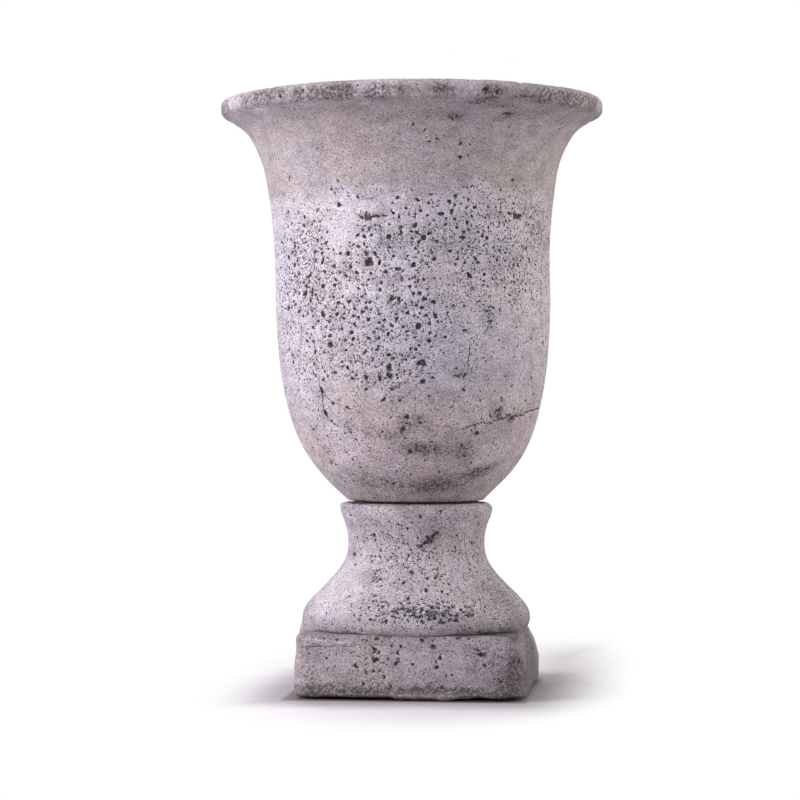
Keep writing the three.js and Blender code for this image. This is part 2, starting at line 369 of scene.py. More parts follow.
class Casting:
    """A closed surface round the upright axis, met by its angle and by the way s along its profile.

    low and high are the ways between which its outer face shows, and wall those of its plain wall.
    """

    def __init__(self, profile, shift, round_off):
        typical = self.reach(np.full(len(profile), TYPICAL_ANGLE), profile)
        way = run_up(np.hypot(np.diff(typical), np.diff(profile[:, 1])))
        keep = np.r_[True, np.diff(way) > 1e-6]
        way, profile = way[keep], profile[keep]
        self.shift = shift
        self.length = way[-1]
        count = int(self.length / PROFILE_STEP)
        self.s = np.arange(count + 1) * self.length / count
        self.fine = self.softened(interpolated(self.s, way, profile), round_off)
        self.around = self.reach(np.full(count + 1, TYPICAL_ANGLE), self.fine)
        self.spread = run_up(np.diff(self.s) / (self.around[1:] + self.around[:-1]) * 2)
        self.low, self.high = 0.0, self.length
        self.wall = (0.0, self.length)

    @staticmethod
    def softened(rows, round_off):
        """The closed profile with its corners rounded off by this many mm."""
        reach = int(round_off / PROFILE_STEP * 3)
        kernel = np.exp(-0.5 * (np.arange(-reach, reach + 1) * PROFILE_STEP / round_off) ** 2)
        kernel /= kernel.sum()
        ring = np.vstack([rows[-reach - 1 : -1], rows, rows[1 : reach + 1]])
        soft = np.column_stack([np.convolve(column, kernel, "valid") for column in ring.T])
        soft[-1] = soft[0]
        return soft

    @staticmethod
    def reach(angle, rows):
        """How far out the surface lies, between a round plan and the plinth's square one."""
        return (1 - rows[:, 2]) * rows[:, 0] + rows[:, 2] * plinth_outline(angle, rows[:, 3])

    def place(self, angle, s):
        """The points on the surface."""
        rows = interpolated(np.asarray(s) % self.length, self.s, self.fine)
        out = self.reach(angle, rows)
        return np.column_stack([out * np.cos(angle), out * np.sin(angle), rows[:, 1]])

    def shown(self, angle, s):
        """Pixel columns and rows of points on the shifted surface."""
        here = self.place(angle, s)
        return in_picture(here + self.shift(here))

    def frame(self, angle, s):
        """Places, outward normals, and how many mm a radian and a step of s cover."""
        turn, step = 1e-3, 0.15
        across = (self.place(angle + turn, s) - self.place(angle - turn, s)) / (2 * turn)
        up = (self.place(angle, s + step) - self.place(angle, s - step)) / (2 * step)
        normal = np.cross(across, up)
        normal /= np.linalg.norm(normal, axis=1)[:, None]
        wide = np.linalg.norm(across, axis=1)
        tall = np.clip(np.linalg.norm(up, axis=1), 0.3, 3)
        return self.place(angle, s), normal, wide, tall

    def first(self, test, start=0):
        """The way at the first profile row from start on that passes the test."""
        return float(self.s[start + np.argmax(test[start:])])


# The photograph's view

out_front = np.array([math.sin(VIEW_AZIMUTH), -math.cos(VIEW_AZIMUTH), 0])
view_right = np.array([math.cos(VIEW_AZIMUTH), math.sin(VIEW_AZIMUTH), 0])
eye = VIEW_DISTANCE * out_front + np.array([0, 0, VIEW_HEIGHT])
yaw = math.atan((AXIS_PIXEL - PICTURE_SIDE / 2) / FOCAL_PIXELS)
look = -math.cos(yaw) * out_front - math.sin(yaw) * view_right
look_right = math.cos(yaw) * view_right - math.sin(yaw) * out_front


def in_picture(points):
    """Pixel columns and rows of points in mm."""
    offset = points - eye
    depth = offset @ look
    across = PICTURE_SIDE / 2 + FOCAL_PIXELS * (offset @ look_right) / depth
    return np.c_[across, PICTURE_SIDE / 2 - FOCAL_PIXELS * offset[:, 2] / depth]


def facing(places):
    """The side on which each place lies."""
    return np.degrees(np.arctan2(places @ view_right, places @ out_front))


def seen_at(casting, spots):
    """The angle and s at which a casting's outer face shows at these pixels."""
    spots = np.atleast_2d(np.asarray(spots, float))[:, :2]
    front = math.atan2(out_front[1], out_front[0])
    low, high = casting.low, casting.high
    turns, ways = np.meshgrid(front + np.linspace(-1.35, 1.35, 110), np.linspace(low, high, 160))
    turns, ways = turns.ravel(), ways.ravel()
    grid = casting.shown(turns, ways)
    nearest = [int(np.argmin(((grid - spot) ** 2).sum(1))) for spot in spots]
    angle, s = turns[nearest], ways[nearest]
    small_turn, small_step = 1e-3, 0.1
    most_turn, most_step, rounds = 0.03, 3, 4
    for _ in range(rounds):
        now = casting.shown(angle, s)
        turned = (casting.shown(angle + small_turn, s) - now) / small_turn
        moved = (casting.shown(angle, s + small_step) - now) / small_step
        miss = spots - now
        area = turned[:, 0] * moved[:, 1] - turned[:, 1] * moved[:, 0]
        area = np.where(np.abs(area) < 1e-3, 1e-3, area)
        turn = (miss[:, 0] * moved[:, 1] - miss[:, 1] * moved[:, 0]) / area
        step = (turned[:, 0] * miss[:, 1] - turned[:, 1] * miss[:, 0]) / area
        angle = angle + np.clip(turn, -most_turn, most_turn)
        s = np.clip(s + np.clip(step, -most_step, most_step), low, high)
    return angle, s


# Meshing


def linked(name, data):
    """A new object of this data in the scene."""
    made = bpy.data.objects.new(name, data)
    bpy.context.collection.objects.link(made)
    return made


def meshed(name, points, faces):
    """A mesh from points in mm."""
    mesh = bpy.data.meshes.new(name)
    mesh.from_pydata((np.asarray(points) * MM).tolist(), [], faces)
    return mesh


def smooth(mesh, sharpest):
    """Smooth shading, with edges sharp above this angle in degrees."""
    mesh.polygons.foreach_set("use_smooth", np.ones(len(mesh.polygons), bool))
    mesh.set_sharp_from_angle(angle=math.radians(sharpest))


class Cloth:
    """The points that a casting is meshed from: their angle, s, sink in mm and darkness 0 to 1."""

    def __init__(self, casting, seed):
        self.casting = casting
        self.random = np.random.default_rng(seed)
        self.points = np.zeros((4, 0))

    def add(self, angle, s, sink, dark):
        new = [row.ravel() for row in np.broadcast_arrays(angle % TURN, s, sink, dark)]
        self.points = np.hstack([self.points, new])

    def rows(self, spacing):
        """Lays the even ground of points, spacing(s) mm apart."""
        s, step, turns, ways = 0.0, 0, [], []
        while s < self.casting.length:
            gap = float(spacing(s))
            around = float(np.interp(s, self.casting.s, self.casting.around))
            count = max(FEWEST_IN_ROW, round(TURN * around / gap))
            turn = (np.arange(count) + 0.5 * (step % 2)) * TURN / count
            way = np.full(count, s)
            if step:
                turn = turn + self.random.uniform(-0.16, 0.16, count) * gap / around
                way = way + self.random.uniform(-0.14, 0.14, count) * gap
            if not step or way.max() < self.casting.length - LAST_ROW_GAP:
                turns.append(turn)
                ways.append(way)
            s += ROW_SHARE * gap
            step += 1
        self.add(np.concatenate(turns), np.concatenate(ways), 0.0, 0.0)

    def clear(self, centres, radii):
        """Takes away ground points near these places."""
        angle, s = self.points[:2]
        tree = kdtree.KDTree(len(s))
        for i, place in enumerate(self.casting.place(angle, s)):
            tree.insert(place, i)
        tree.balance()
        gone = set()
        for centre, radius in zip(centres, radii):
            gone.update(found[1] for found in tree.find_range(centre, radius))
        keep = np.ones(len(s), bool)
        keep[list(gone)] = False
        self.points = self.points[:, keep | (s == 0)]

    def mesh(self):
        """Triangles over the points and their UVs. The first row also closes the last one."""
        angle, s = self.points[:2]
        spread, length = self.casting.spread, self.casting.length
        first = np.flatnonzero(s == 0)
        turn = np.r_[angle, angle[first]]
        high = np.r_[np.interp(s, self.casting.s, spread), np.full(len(first), spread[-1])]
        origin = np.r_[np.arange(len(s)), first]
        last = np.arange(len(origin)) >= len(s)
        left, right = turn < SEAM_OVERLAP, turn > TURN - SEAM_OVERLAP
        turn = np.r_[turn, turn[left] + TURN, turn[right] - TURN]
        high, origin, last = (np.r_[row, row[left], row[right]] for row in (high, origin, last))
        flat = [Vector((x * PLANE_SCALE, y * PLANE_SCALE)) for x, y in zip(turn, high)]
        made = delaunay_2d_cdt(flat, [], [], 0, 1e-7)
        source = np.array([sources[0] for sources in made[3]])
        faces = source[np.array([face for face in made[2] if len(face) == 3])]
        middle = turn[faces].mean(1)
        faces = faces[(middle >= 0) & (middle < TURN)]
        a, b, c = (np.c_[turn[faces[:, i]], high[faces[:, i]]] for i in range(3))
        area = (b[:, 0] - a[:, 0]) * (c[:, 1] - a[:, 1]) - (b[:, 1] - a[:, 1]) * (c[:, 0] - a[:, 0])
        faces = faces[area > 1e-10]
        way = np.where(last[faces], length, s[origin[faces]])
        return origin[faces], np.stack([(turn[faces] + UV_MARGIN) / (TURN + 2 * UV_MARGIN), way / length], -1)


# Pores and cracks

# Rings of points that make a pore, by the largest radius that they serve. Each ring is
# (points, reach, depth, darkness), with reach and depth as shares of the pore's own.
RINGS = (
    (0.85, ((6, 1.15, 0.0, 0.0), (5, 0.72, 0.9, 1.0))),
    (1.6, ((9, 1.12, 0.0, 0.0), (8, 0.84, 0.6, 0.85), (5, 0.42, 1.0, 1.0))),
    (99, ((15, 1.08, 0.0, 0.0), (14, 0.88, 0.55, 0.85), (9, 0.55, 0.95, 1.0), (3, 0.18, 1.0, 1.0))),
)
# How far a pore's outline departs from round, for two, three, four and five lobes
LOBES = (0.24, 0.2, 0.12, 0.1)
# How far ground points are cleared round a pore, as a share of its reach and mm more, and round a crack
CLEARED_SHARE, CLEARED_RIM, CRACK_CLEARED = 1.12, 0.35, 0.95
# A crack's mesh step, the length over which its ends taper, and the room that pores leave it
CRACK_STEP, CRACK_TAPER, CRACK_ROOM = 0.85, 4, 0.9
# The room between two pores: a share of both radii, and mm more
ROOM_SHARE, ROOM_MORE = 1.22, 0.25
# How many of its half widths a blot reaches
BLOT_REACH = 2.6
# The radius that a pore gets for each marked pixel, a little more than the 0.68 mm that a pixel spans
MARK_MM = 0.78


def outline_of(theta, shape):
    """An uneven outline: how far out it lies at each direction, 1 on the average."""
    total = np.ones_like(theta)
    for lobes, (size, start) in enumerate(shape, start=2):
        total = total + size[:, None] * np.cos(lobes * (theta - start[:, None]))
    return total


def sink_pores(cloth, pores):
    """Adds pores, each (angle, s, radius, stretch, turn, depth), to the mesh's points."""
    centres = cloth.casting.place(pores[:, 0], pores[:, 1])
    cloth.clear(centres, pores[:, 2] * np.sqrt(pores[:, 3]) * CLEARED_SHARE + CLEARED_RIM)
    _, _, wide, tall = cloth.casting.frame(pores[:, 0], pores[:, 1])
    random = cloth.random
    smallest = 0.0
    for largest, rings in RINGS:
        pick = (pores[:, 2] >= smallest) & (pores[:, 2] < largest)
        smallest = largest
        count = np.count_nonzero(pick)
        if not count:
            continue
        middle, s, radius, stretch, tilt, deep = (column[:, None] for column in pores[pick].T)
        shape = [(random.uniform(0, size, count), random.uniform(0, TURN, count)) for size in LOBES]
        for corners, reach, depth, dark in rings:
            theta = (np.arange(corners) + random.uniform(0.1, 0.7, (count, corners))) * TURN / corners
            out = radius * reach * outline_of(theta, shape)
            x, y = out * np.cos(theta) * np.sqrt(stretch), out * np.sin(theta) / np.sqrt(stretch)
            cosine, sine = np.cos(tilt), np.sin(tilt)
            angle = middle + (x * cosine - y * sine) / wide[pick][:, None]
            way = s + (x * sine + y * cosine) / tall[pick][:, None]
            uneven = random.uniform(0.8, 1.15, theta.shape) if depth else 1.0
            cloth.add(angle, way, deep * depth * uneven, dark)


def cut_cracks(cloth, cracks):
    """Cuts narrow grooves. Each is (angles, ways, width, depth)."""
    casting = cloth.casting
    for angles, ways, width, depth in cracks:
        run = run_up(np.linalg.norm(np.diff(casting.place(angles, ways), axis=0), axis=1))
        at = np.arange(0, run[-1], CRACK_STEP)
        turn, way = np.interp(at, run, angles), np.interp(at, run, ways)
        places, _, wide, tall = casting.frame(turn, way)
        wander = 0.9 * noise(places, 5.0, 71) + 0.35 * noise(places, 1.7, 72)
        heading = np.c_[np.gradient(turn) * wide, np.gradient(way) * tall]
        heading /= np.linalg.norm(heading, axis=1)[:, None] + 1e-9
        across = np.c_[-heading[:, 1] / wide, heading[:, 0] / tall]
        turn, way = turn + across[:, 0] * wander, way + across[:, 1] * wander
        cloth.clear(casting.place(turn, way), np.full(len(turn), CRACK_CLEARED))
        taper = np.clip(np.minimum(at, at[-1] - at) / CRACK_TAPER, 0.15, 1)
        half = 0.5 * width * taper * (1 + 0.5 * noise(places, 3.0, 73))
        deep = depth * taper * (1 + 0.5 * noise(places, 4.0, 74))
        for offset, share, dark in ((-1, 0, 0), (0, 1, 1), (1, 0, 0)):
            moved = across * (half * offset)[:, None]
            cloth.add(turn + moved[:, 0], way + moved[:, 1], deep * share, dark)


class Neighbours:
    """Pores put down so far, kept in cells of space so that the near ones are found fast."""

    cell = 5.0
    steps = [np.array(corner) - 1 for corner in np.ndindex(3, 3, 3)]

    def __init__(self, taken):
        self.cells = {}
        for place, size in taken:
            self.put(place, size)

    def put(self, place, size):
        self.cells.setdefault(tuple((place // self.cell).astype(int)), []).append((place, size))

    def free(self, place, size):
        """Whether a pore of this size would lie clear of all the others."""
        home = (place // self.cell).astype(int)
        for step in self.steps:
            for other, other_size in self.cells.get(tuple(home + step), ()):
                offset = other - place
                if np.dot(offset, offset) < (ROOM_SHARE * (other_size + size) + ROOM_MORE) ** 2:
                    return False
        return True


def scatter(casting, low, high, tries, chance, sizes, seed, taken):
    """Pores strewn from s low to s high. chance(places) is 0 to 1, and taken holds earlier ones."""
    random = np.random.default_rng(seed)
    ways = np.linspace(low, high, 400)
    weight = np.interp(ways, casting.s, casting.around)
    s = np.interp(random.uniform(0, 1, tries), np.cumsum(weight) / weight.sum(), ways)
    angle = random.uniform(0, TURN, tries)
    places = casting.place(angle, s)
    keep = random.uniform(0, 1, tries) < chance(places)
    angle, s, places = angle[keep], s[keep], places[keep]
    radius = sizes(len(angle), places)
    down = Neighbours(taken)
    found = []
    for i in np.argsort(-radius):
        if down.free(places[i], radius[i]):
            down.put(places[i], radius[i])
            found.append(i)
    count = len(found)
    size = radius[found]
    stretch = 1 + random.exponential(0.32, count)
    deep = size * np.clip(1.25 - 0.22 * size, 0.5, 1.1) * random.uniform(0.75, 1.2, count)
    return np.c_[angle[found], s[found], size, stretch, random.uniform(0, TURN, count), deep]


def torn(patches, first_seed):
    """Small pores crowded into patches of (column, row, half width, half height, count, size)."""
    made = []
    for seed, (column, row, wide, tall, count, size) in enumerate(patches, first_seed):
        random = np.random.default_rng(seed)
        columns, rows = column + wide * random.normal(0, 1, count), row + tall * random.normal(0, 1, count)
        sizes, stretches = size * random.uniform(0.7, 1.4, count), random.uniform(1.3, 2.8, count)
        made += zip(columns, rows, sizes, stretches, random.normal(0, 14, count))
    return made


def pores_seen(casting, marks):
    """Pores from marks of (column, row, radius, stretch, tilt), in pixels and degrees."""
    marks = np.asarray(marks, float)
    angle, s = seen_at(casting, marks)
    size = marks[:, 2] * MARK_MM
    deep = size * np.clip(1.2 - 0.2 * size, 0.5, 1)
    return np.c_[angle, s, size, marks[:, 3], np.radians(marks[:, 4]), deep]


def solid_holes(casting, curve, count, band, largest):
    """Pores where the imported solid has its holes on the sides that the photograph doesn't show."""
    step = np.arange(count)
    turn = 0.2 + 0.6 * (step * 0.755 % 1)
    share = band[0] + (band[1] - band[0]) * (step * 0.57 % 1)
    size = 3.0 * largest * (0.5 + 0.5 * (step * 0.382 % 1))
    run = run_up(np.hypot(*np.diff(curve, axis=0).T))
    out, height = interpolated(share * run[-1], run, curve).T
    angle = turn * TURN - math.pi / 2
    target = np.c_[out * np.cos(angle), out * np.sin(angle), height]
    back = target
    for _ in range(3):
        back = target - casting.shift(back)
    wall = slice(*np.searchsorted(casting.s, casting.wall))
    angle = np.arctan2(back[:, 1], back[:, 0])
    s = np.interp(back[:, 2], casting.fine[wall, 1], casting.s[wall])
    return np.c_[angle, s, size * 0.86, 1.1 + 0.5 * (step * 0.618 % 1), angle * 7, size * 0.62]


def cracks_seen(casting, lines):
    """Cracks from pixel paths, as (angles, ways, width, depth)."""
    return [(*seen_at(casting, path), width, depth) for path, width, depth in lines]


def cracks_behind(casting, starts):
    """Hair cracks on the unseen sides, from (angle in degrees, s, heading, length)."""
    step, width, depth = 4, 0.9, 0.8
    made = []
    for turn, s, heading, length in starts:
        angle, direction = math.radians(turn), math.radians(heading)
        angles, ways = [angle], [s]
        for _ in range(int(length / step)):
            direction += crack_random.normal(0, 0.32)
            angle += step * math.cos(direction) / float(np.interp(s, casting.s, casting.around))
            s += step * math.sin(direction)
            angles.append(angle)
            ways.append(s)
        made.append((np.array(angles), np.array(ways), width, depth))
    return made


def blots(casting, marks, places):
    """How strongly soft blots (column, row, half width, half height, tilt, strength) cover each place."""
    marks = np.asarray(marks, float)
    angle, s = seen_at(casting, marks)
    total = np.zeros(len(places))
    for centre, turn, (_, _, wide, tall, tilt, strength) in zip(casting.place(angle, s), angle, marks):
        offset = places - centre
        near = (offset**2).sum(1) < (BLOT_REACH * max(wide, tall)) ** 2
        some = offset[near]
        x = some @ np.array([-math.sin(turn), math.cos(turn), 0])
        y = some[:, 2]
        cosine, sine = math.cos(math.radians(tilt)), math.sin(math.radians(tilt))
        across, up = (x * cosine + y * sine) / wide, (-x * sine + y * cosine) / tall
        total[near] += strength * np.exp(-(across**2 + up**2))
    return total


def build(name, cloth, relief, painted):
    """Makes a casting's object. relief gives mm along the normal, painted the attributes."""
    faces, uv = cloth.mesh()
    angle, s, sink, dark = cloth.points
    places, normals, _, _ = cloth.casting.frame(angle, s)
    values = {"hollow": dark, **painted(places, s)}
    moved = places + normals * (relief(places, s) - sink)[:, None]
    moved = moved + cloth.casting.shift(places)
    moved[:, 2] = np.clip(moved[:, 2], 0, None)
    mesh = meshed(name, moved, faces.tolist())
    for key, value in values.items():
        layer = mesh.attributes.new(key, "FLOAT", "POINT")
        layer.data.foreach_set("value", np.clip(value, 0, 1).astype(np.float32))
    layer = mesh.uv_layers.new(name="OFBake")
    layer.data.foreach_set("uv", uv.astype(np.float32).ravel())
    mesh.update()
    mesh.validate()
    smooth(mesh, 62)
    return linked(name, mesh)


def cast(name, cloth, spacing, marks, holes, lines, starts, strewn, relief, painted):
    """A casting with its pores and cracks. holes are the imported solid's own, and strewn adds the rest."""
    casting = cloth.casting
    cloth.rows(spacing)
    named = np.vstack([pores_seen(casting, marks), solid_holes(casting, *holes)])
    centres = casting.place(named[:, 0], named[:, 1])
    taken = list(zip(centres, named[:, 2] * np.sqrt(named[:, 3])))
    cracks = cracks_seen(casting, lines) + cracks_behind(casting, starts)
    taken += [(place, CRACK_ROOM) for turn, way, _, _ in cracks for place in casting.place(turn, way)]
    small = strewn(taken)
    cut_cracks(cloth, cracks)
    sink_pores(cloth, np.vstack([named, small]))
    return build(name, cloth, relief, painted)


crack_random = np.random.default_rng(61)


# The bowl

# Regions of the bowl as (start, full, fading, end): heights in mm, sides in degrees
BAND_HEIGHT = (198, 216, 322, 338)
CROWDED_HEIGHT = (205, 225, 296, 312)
UPPER_RIGHT_SIDE, UPPER_RIGHT_HEIGHT = (4, 18, 64, 80), (262, 280, 320, 332)
FINE_LEFT_HEIGHT = (200, 225, 300, 320)
FINE_RIGHT_SIDE, FINE_RIGHT_HEIGHT = (8, 26, 80, 95), (250, 280, 315, 330)
SMALLER_SIDE = (0, 30, 85, 100)
THIN_LEFT_SIDE = (60, 72, 95, 110)
PALE_BEHIND_HEIGHT = (270, 300, 325, 336)
PHOTOGRAPHED_SIDE = 90


def bowl_shift(places):
    """The lean of the bowl, and small departures of its outline from a true curve."""
    height, side = places[:, 2], facing(places)
    above = np.clip(height - BOWL_FOOT, 0, None)
    lean = -above * LEAN - 0.9 * ramp(height, 134, 200) - 0.6 * ramp(height, 250, 300)
    lean += 0.9 * ramp(height, 360, 386)
    around = np.hypot(places[:, 0], places[:, 1])
    slim = -1.1 * hump(height, 383, 9) - 0.3 * hump(height, 300, 26) - 0.45 * hump(height, 356, 12)
    slim *= ramp(around, 70, 84)
    slim += hump(height, 136, 9) * ramp(-side, 40, 75)
    shift = lean[:, None] * view_right
    shift[:, :2] += places[:, :2] / around[:, None] * slim[:, None]
    across = places @ view_right
    shift[:, 2] += across * LEAN * ramp(above, 8, 80)
    shift[:, 2] -= (0.15 + 0.75 * ramp(across, 50, 110)) * ramp(height, 380, 396)
    return shift


bowl_rows, bowl_curve = bowl_profile()
bowl = Casting(bowl_rows, bowl_shift, 0.45)
lip_peak = int(np.argmax(bowl.fine[:, 1]))
bowl_lip_s = float(bowl.s[lip_peak])
bowl_floor_s = bowl.first(bowl.fine[:, 1] < FLOOR_HEIGHT + 1, lip_peak)
bowl.low, bowl.high = bowl.first(bowl.fine[:, 0] > FOOT_RADIUS - 1), bowl_lip_s - 4
bowl.wall = (bowl.low + 2, bowl.high - 8)


def bowl_spacing(s):
    """The gap between mesh points: fine at the lip and the foot, coarse inside."""
    if s < bowl.low - 3 or s > bowl_floor_s + 4:
        return 4.5
    if abs(s - bowl.low) <= 5:
        return 2.0
    lip = bowl_lip_s - s
    if -10 < lip < 21:
        return 1.7
    if lip > 0:
        return 3.3
    return 4.4 if lip > -60 else 5.5


# The larger pores that the photograph shows, as (column, row, radius, stretch, tilt)
BOWL_PORES = (
    (369, 262, 4, 1.2, 10), (366.4, 253.3, 2.2, 1.3, 0), (388.9, 236.6, 2.2, 1.1, 80),
    (364.4, 236.4, 1.8, 1.1, 0), (357.6, 235.1, 1.6, 1.2, 30), (339.2, 204.8, 2, 1.4, 80),
    (331.2, 189.2, 1.2, 1, 0), (288.9, 257.3, 2.2, 1, 0), (322.6, 260.8, 2.3, 1.7, 65),
    (294.5, 245.3, 2.4, 1.9, 75), (292.4, 252, 1.9, 1.5, 20), (294.5, 265.2, 2.2, 1.3, 45),
    (297.4, 260.9, 1.7, 1.2, 0), (350.6, 266.7, 1.6, 1, 0), (348, 253.5, 2.1, 1.2, 90),
    (340.4, 253.3, 1.5, 1, 0), (398, 268.8, 2.2, 1.2, 0), (385.8, 271.8, 1.9, 1.1, 0),
    (414.9, 225.4, 2.2, 1.3, 20), (420.8, 210.6, 1.7, 1.3, 0), (401.1, 231, 1.8, 2.4, 85),
    (413.3, 264.7, 2.3, 1.6, 80), (305.2, 293.8, 2.8, 1.1, 0), (306.2, 286.2, 2.2, 1.2, 0),
    (312.3, 291.2, 2.1, 1.8, 80), (323, 286.1, 2.1, 1.2, 0), (334.8, 285.1, 1.8, 1.1, 60),
    (288.4, 308, 2.5, 1.1, 0), (323, 314.2, 2.6, 1.5, 160), (336.8, 314.2, 1.9, 1.3, 50),
    (362.3, 312.1, 1.7, 1.2, 60), (351.6, 332.5, 1.9, 1.2, 0), (391.9, 325.4, 1.7, 1.2, 0),
    (418.5, 325.9, 2.8, 1.3, 50), (424.6, 298.9, 2.1, 1.2, 100), (421.9, 307.6, 1.7, 1.5, 0),
    (391.9, 298.4, 2.2, 1.4, 70), (398.9, 299.4, 2.1, 1.3, 90), (309.3, 275.9, 2.3, 2.6, 35),
    (330.2, 344.9, 2.7, 1.1, 0), (315, 351.9, 1.8, 1.4, 90), (347.5, 367.7, 1.7, 1.1, 0),
    (366, 377.4, 2.1, 1.2, 0), (380, 378.5, 2, 1, 0), (353, 379, 1.5, 2.6, 0), (389.3, 367.6, 2.9, 1.3, 80),
    (389.6, 375.4, 2.6, 1.5, 150), (421.8, 363, 3.6, 1.5, 0), (422.9, 381.4, 2.2, 1.3, 20),
    (366, 389.3, 1.6, 1, 0), (392.6, 389.3, 1.4, 1, 0), (383.6, 399.7, 2, 1.3, 30),
    (347.6, 407.8, 1.8, 1.5, 150), (333, 403.4, 1.7, 1.1, 0), (321.4, 390, 2.8, 1.9, 105),
    (325.6, 413.4, 2.7, 2.1, 112), (331, 421, 1.6, 2.2, 145), (356.2, 439.8, 1.3, 1, 0),
    (313.4, 429.5, 1.5, 1, 0), (441.3, 213.7, 2.3, 1.4, 0), (451.8, 211.6, 2.2, 1.6, 85),
    (449.5, 201.8, 1.9, 1.7, 120), (467.3, 222.3, 1.7, 1.7, 90), (466.8, 207.5, 1.5, 1.4, 60),
    (482.7, 235.4, 1.8, 1.2, 90), (487.3, 238, 1.8, 1, 0), (478.4, 231.9, 1.3, 1.6, 160),
    (463.8, 231.8, 1.6, 1.3, 0), (462.8, 237.3, 2.1, 1.6, 0), (457.1, 227.4, 1.5, 1, 0),
    (434.2, 259, 1.8, 1.1, 0), (469.4, 275.4, 2.6, 1.7, 145), (475.6, 258.6, 1.8, 1.4, 120),
    (477.6, 262.3, 1.5, 1.3, 0), (433.7, 301.9, 2.1, 1.4, 0), (464.3, 306, 1.5, 1.2, 150),
    (453.6, 305.5, 1.3, 1, 0), (435.2, 315.7, 2.2, 2, 100), (429.6, 323.9, 1.6, 1.1, 0),
    (465.3, 330.5, 1.9, 1.5, 0), (445.4, 337.1, 1.6, 1.1, 0), (500, 309.6, 1.3, 1, 0),
    (518.4, 265.2, 1.6, 1.2, 90), (497.4, 259.6, 1.7, 1.6, 90), (513.8, 265.2, 1.5, 1, 0),
    (520.9, 260.6, 1.3, 1, 0), (477, 433.3, 2, 1.6, 10), (461.8, 445.7, 1.5, 1.2, 0),
    (245.6, 103.9, 1.5, 1, 0), (280.3, 96.4, 1.8, 1.1, 0), (289.4, 178.5, 1.6, 2.2, 80),
    (497.2, 91.8, 2, 1.3, 60), (485.5, 88.8, 2, 1.8, 10), (508.3, 113.5, 2.2, 2.6, 175),
    (477.7, 103.3, 1.3, 2.8, 0), (486.6, 98.8, 1, 2.6, 5), (413.3, 124.3, 1.3, 1.4, 110),
    (460.5, 143.4, 1.6, 1.4, 60), (460.2, 157.1, 1.8, 1.2, 0), (429.2, 141.5, 1.2, 1.8, 0),
    (436.9, 138.6, 1.3, 1.8, 130), (561.3, 123.7, 1.3, 1.8, 50), (509, 126.9, 1, 1.6, 60),
    (407.2, 417, 1.7, 1.3, 0), (403.4, 428.9, 1.6, 1.5, 0), (420.5, 423, 1.3, 1.4, 0),
    (511.7, 418.3, 2, 1.6, 20), (520.4, 414.8, 1.5, 1.3, 0), (498.9, 410, 1.5, 1.3, 0),
    (517.8, 216.4, 3.8, 2.7, 8), (509.6, 213.2, 1.9, 2.2, 140), (524.2, 213.6, 1.4, 1.6, 50),
    (423.6, 237.6, 2.6, 1.5, 50), (417.6, 233, 1.9, 2.4, 145), (429.8, 233.4, 1.9, 1.6, 10),
    (419, 241.8, 1.6, 1.8, 35), (411.6, 231.6, 1.4, 1.8, 160),
)

# Torn patches of small pores, as (column, row, half width, half height, count, size)
BOWL_TORN = (
    (369, 216.8, 4.5, 1, 22, 1.1), (380, 215.6, 4, 0.4, 10, 0.9), (372, 227.5, 3.5, 1.2, 9, 0.8),
    (477, 101.5, 8, 0.9, 7, 0.7), (500, 105.5, 7, 0.8, 6, 0.7), (527, 97, 9, 0.9, 7, 0.7),
    (455, 116.4, 3, 1, 6, 0.8), (509, 113.6, 3, 0.5, 5, 0.9), (401.5, 230.5, 0.6, 3, 7, 1.1),
    (490, 318, 2.5, 6, 12, 0.9), (415, 417, 9, 3, 7, 0.5), (406, 427, 3, 4, 7, 0.7),
    (487, 469, 10, 1.4, 16, 0.7), (441, 484, 9, 2.4, 10, 0.6), (420, 449, 16, 4, 6, 0.5),
    (462, 451, 9, 4, 4, 0.6), (378, 437, 12, 4, 5, 0.5), (400, 486, 16, 4, 12, 0.6),
    (360, 480, 8, 5, 8, 0.6), (458, 374, 4, 2, 7, 0.9), (297, 246, 4, 9, 24, 0.9),
    (311, 283, 5, 8, 24, 0.9), (303, 266, 6, 5, 18, 0.8), (323, 300, 5, 4, 12, 0.8),
    (372, 352, 10, 8, 20, 0.8), (415, 262, 7, 6, 16, 0.8), (391, 300, 5, 3, 10, 0.8),
    (386, 372, 16, 8, 22, 0.8), (505, 414, 9, 2.5, 12, 0.9), (346, 424, 3, 4, 9, 0.7),
    (490, 422.5, 7, 0.8, 10, 0.8), (515, 416.5, 7, 0.9, 12, 1), (465, 428, 7, 1, 9, 0.7),
    (500, 409, 2.5, 3, 7, 0.8),
)

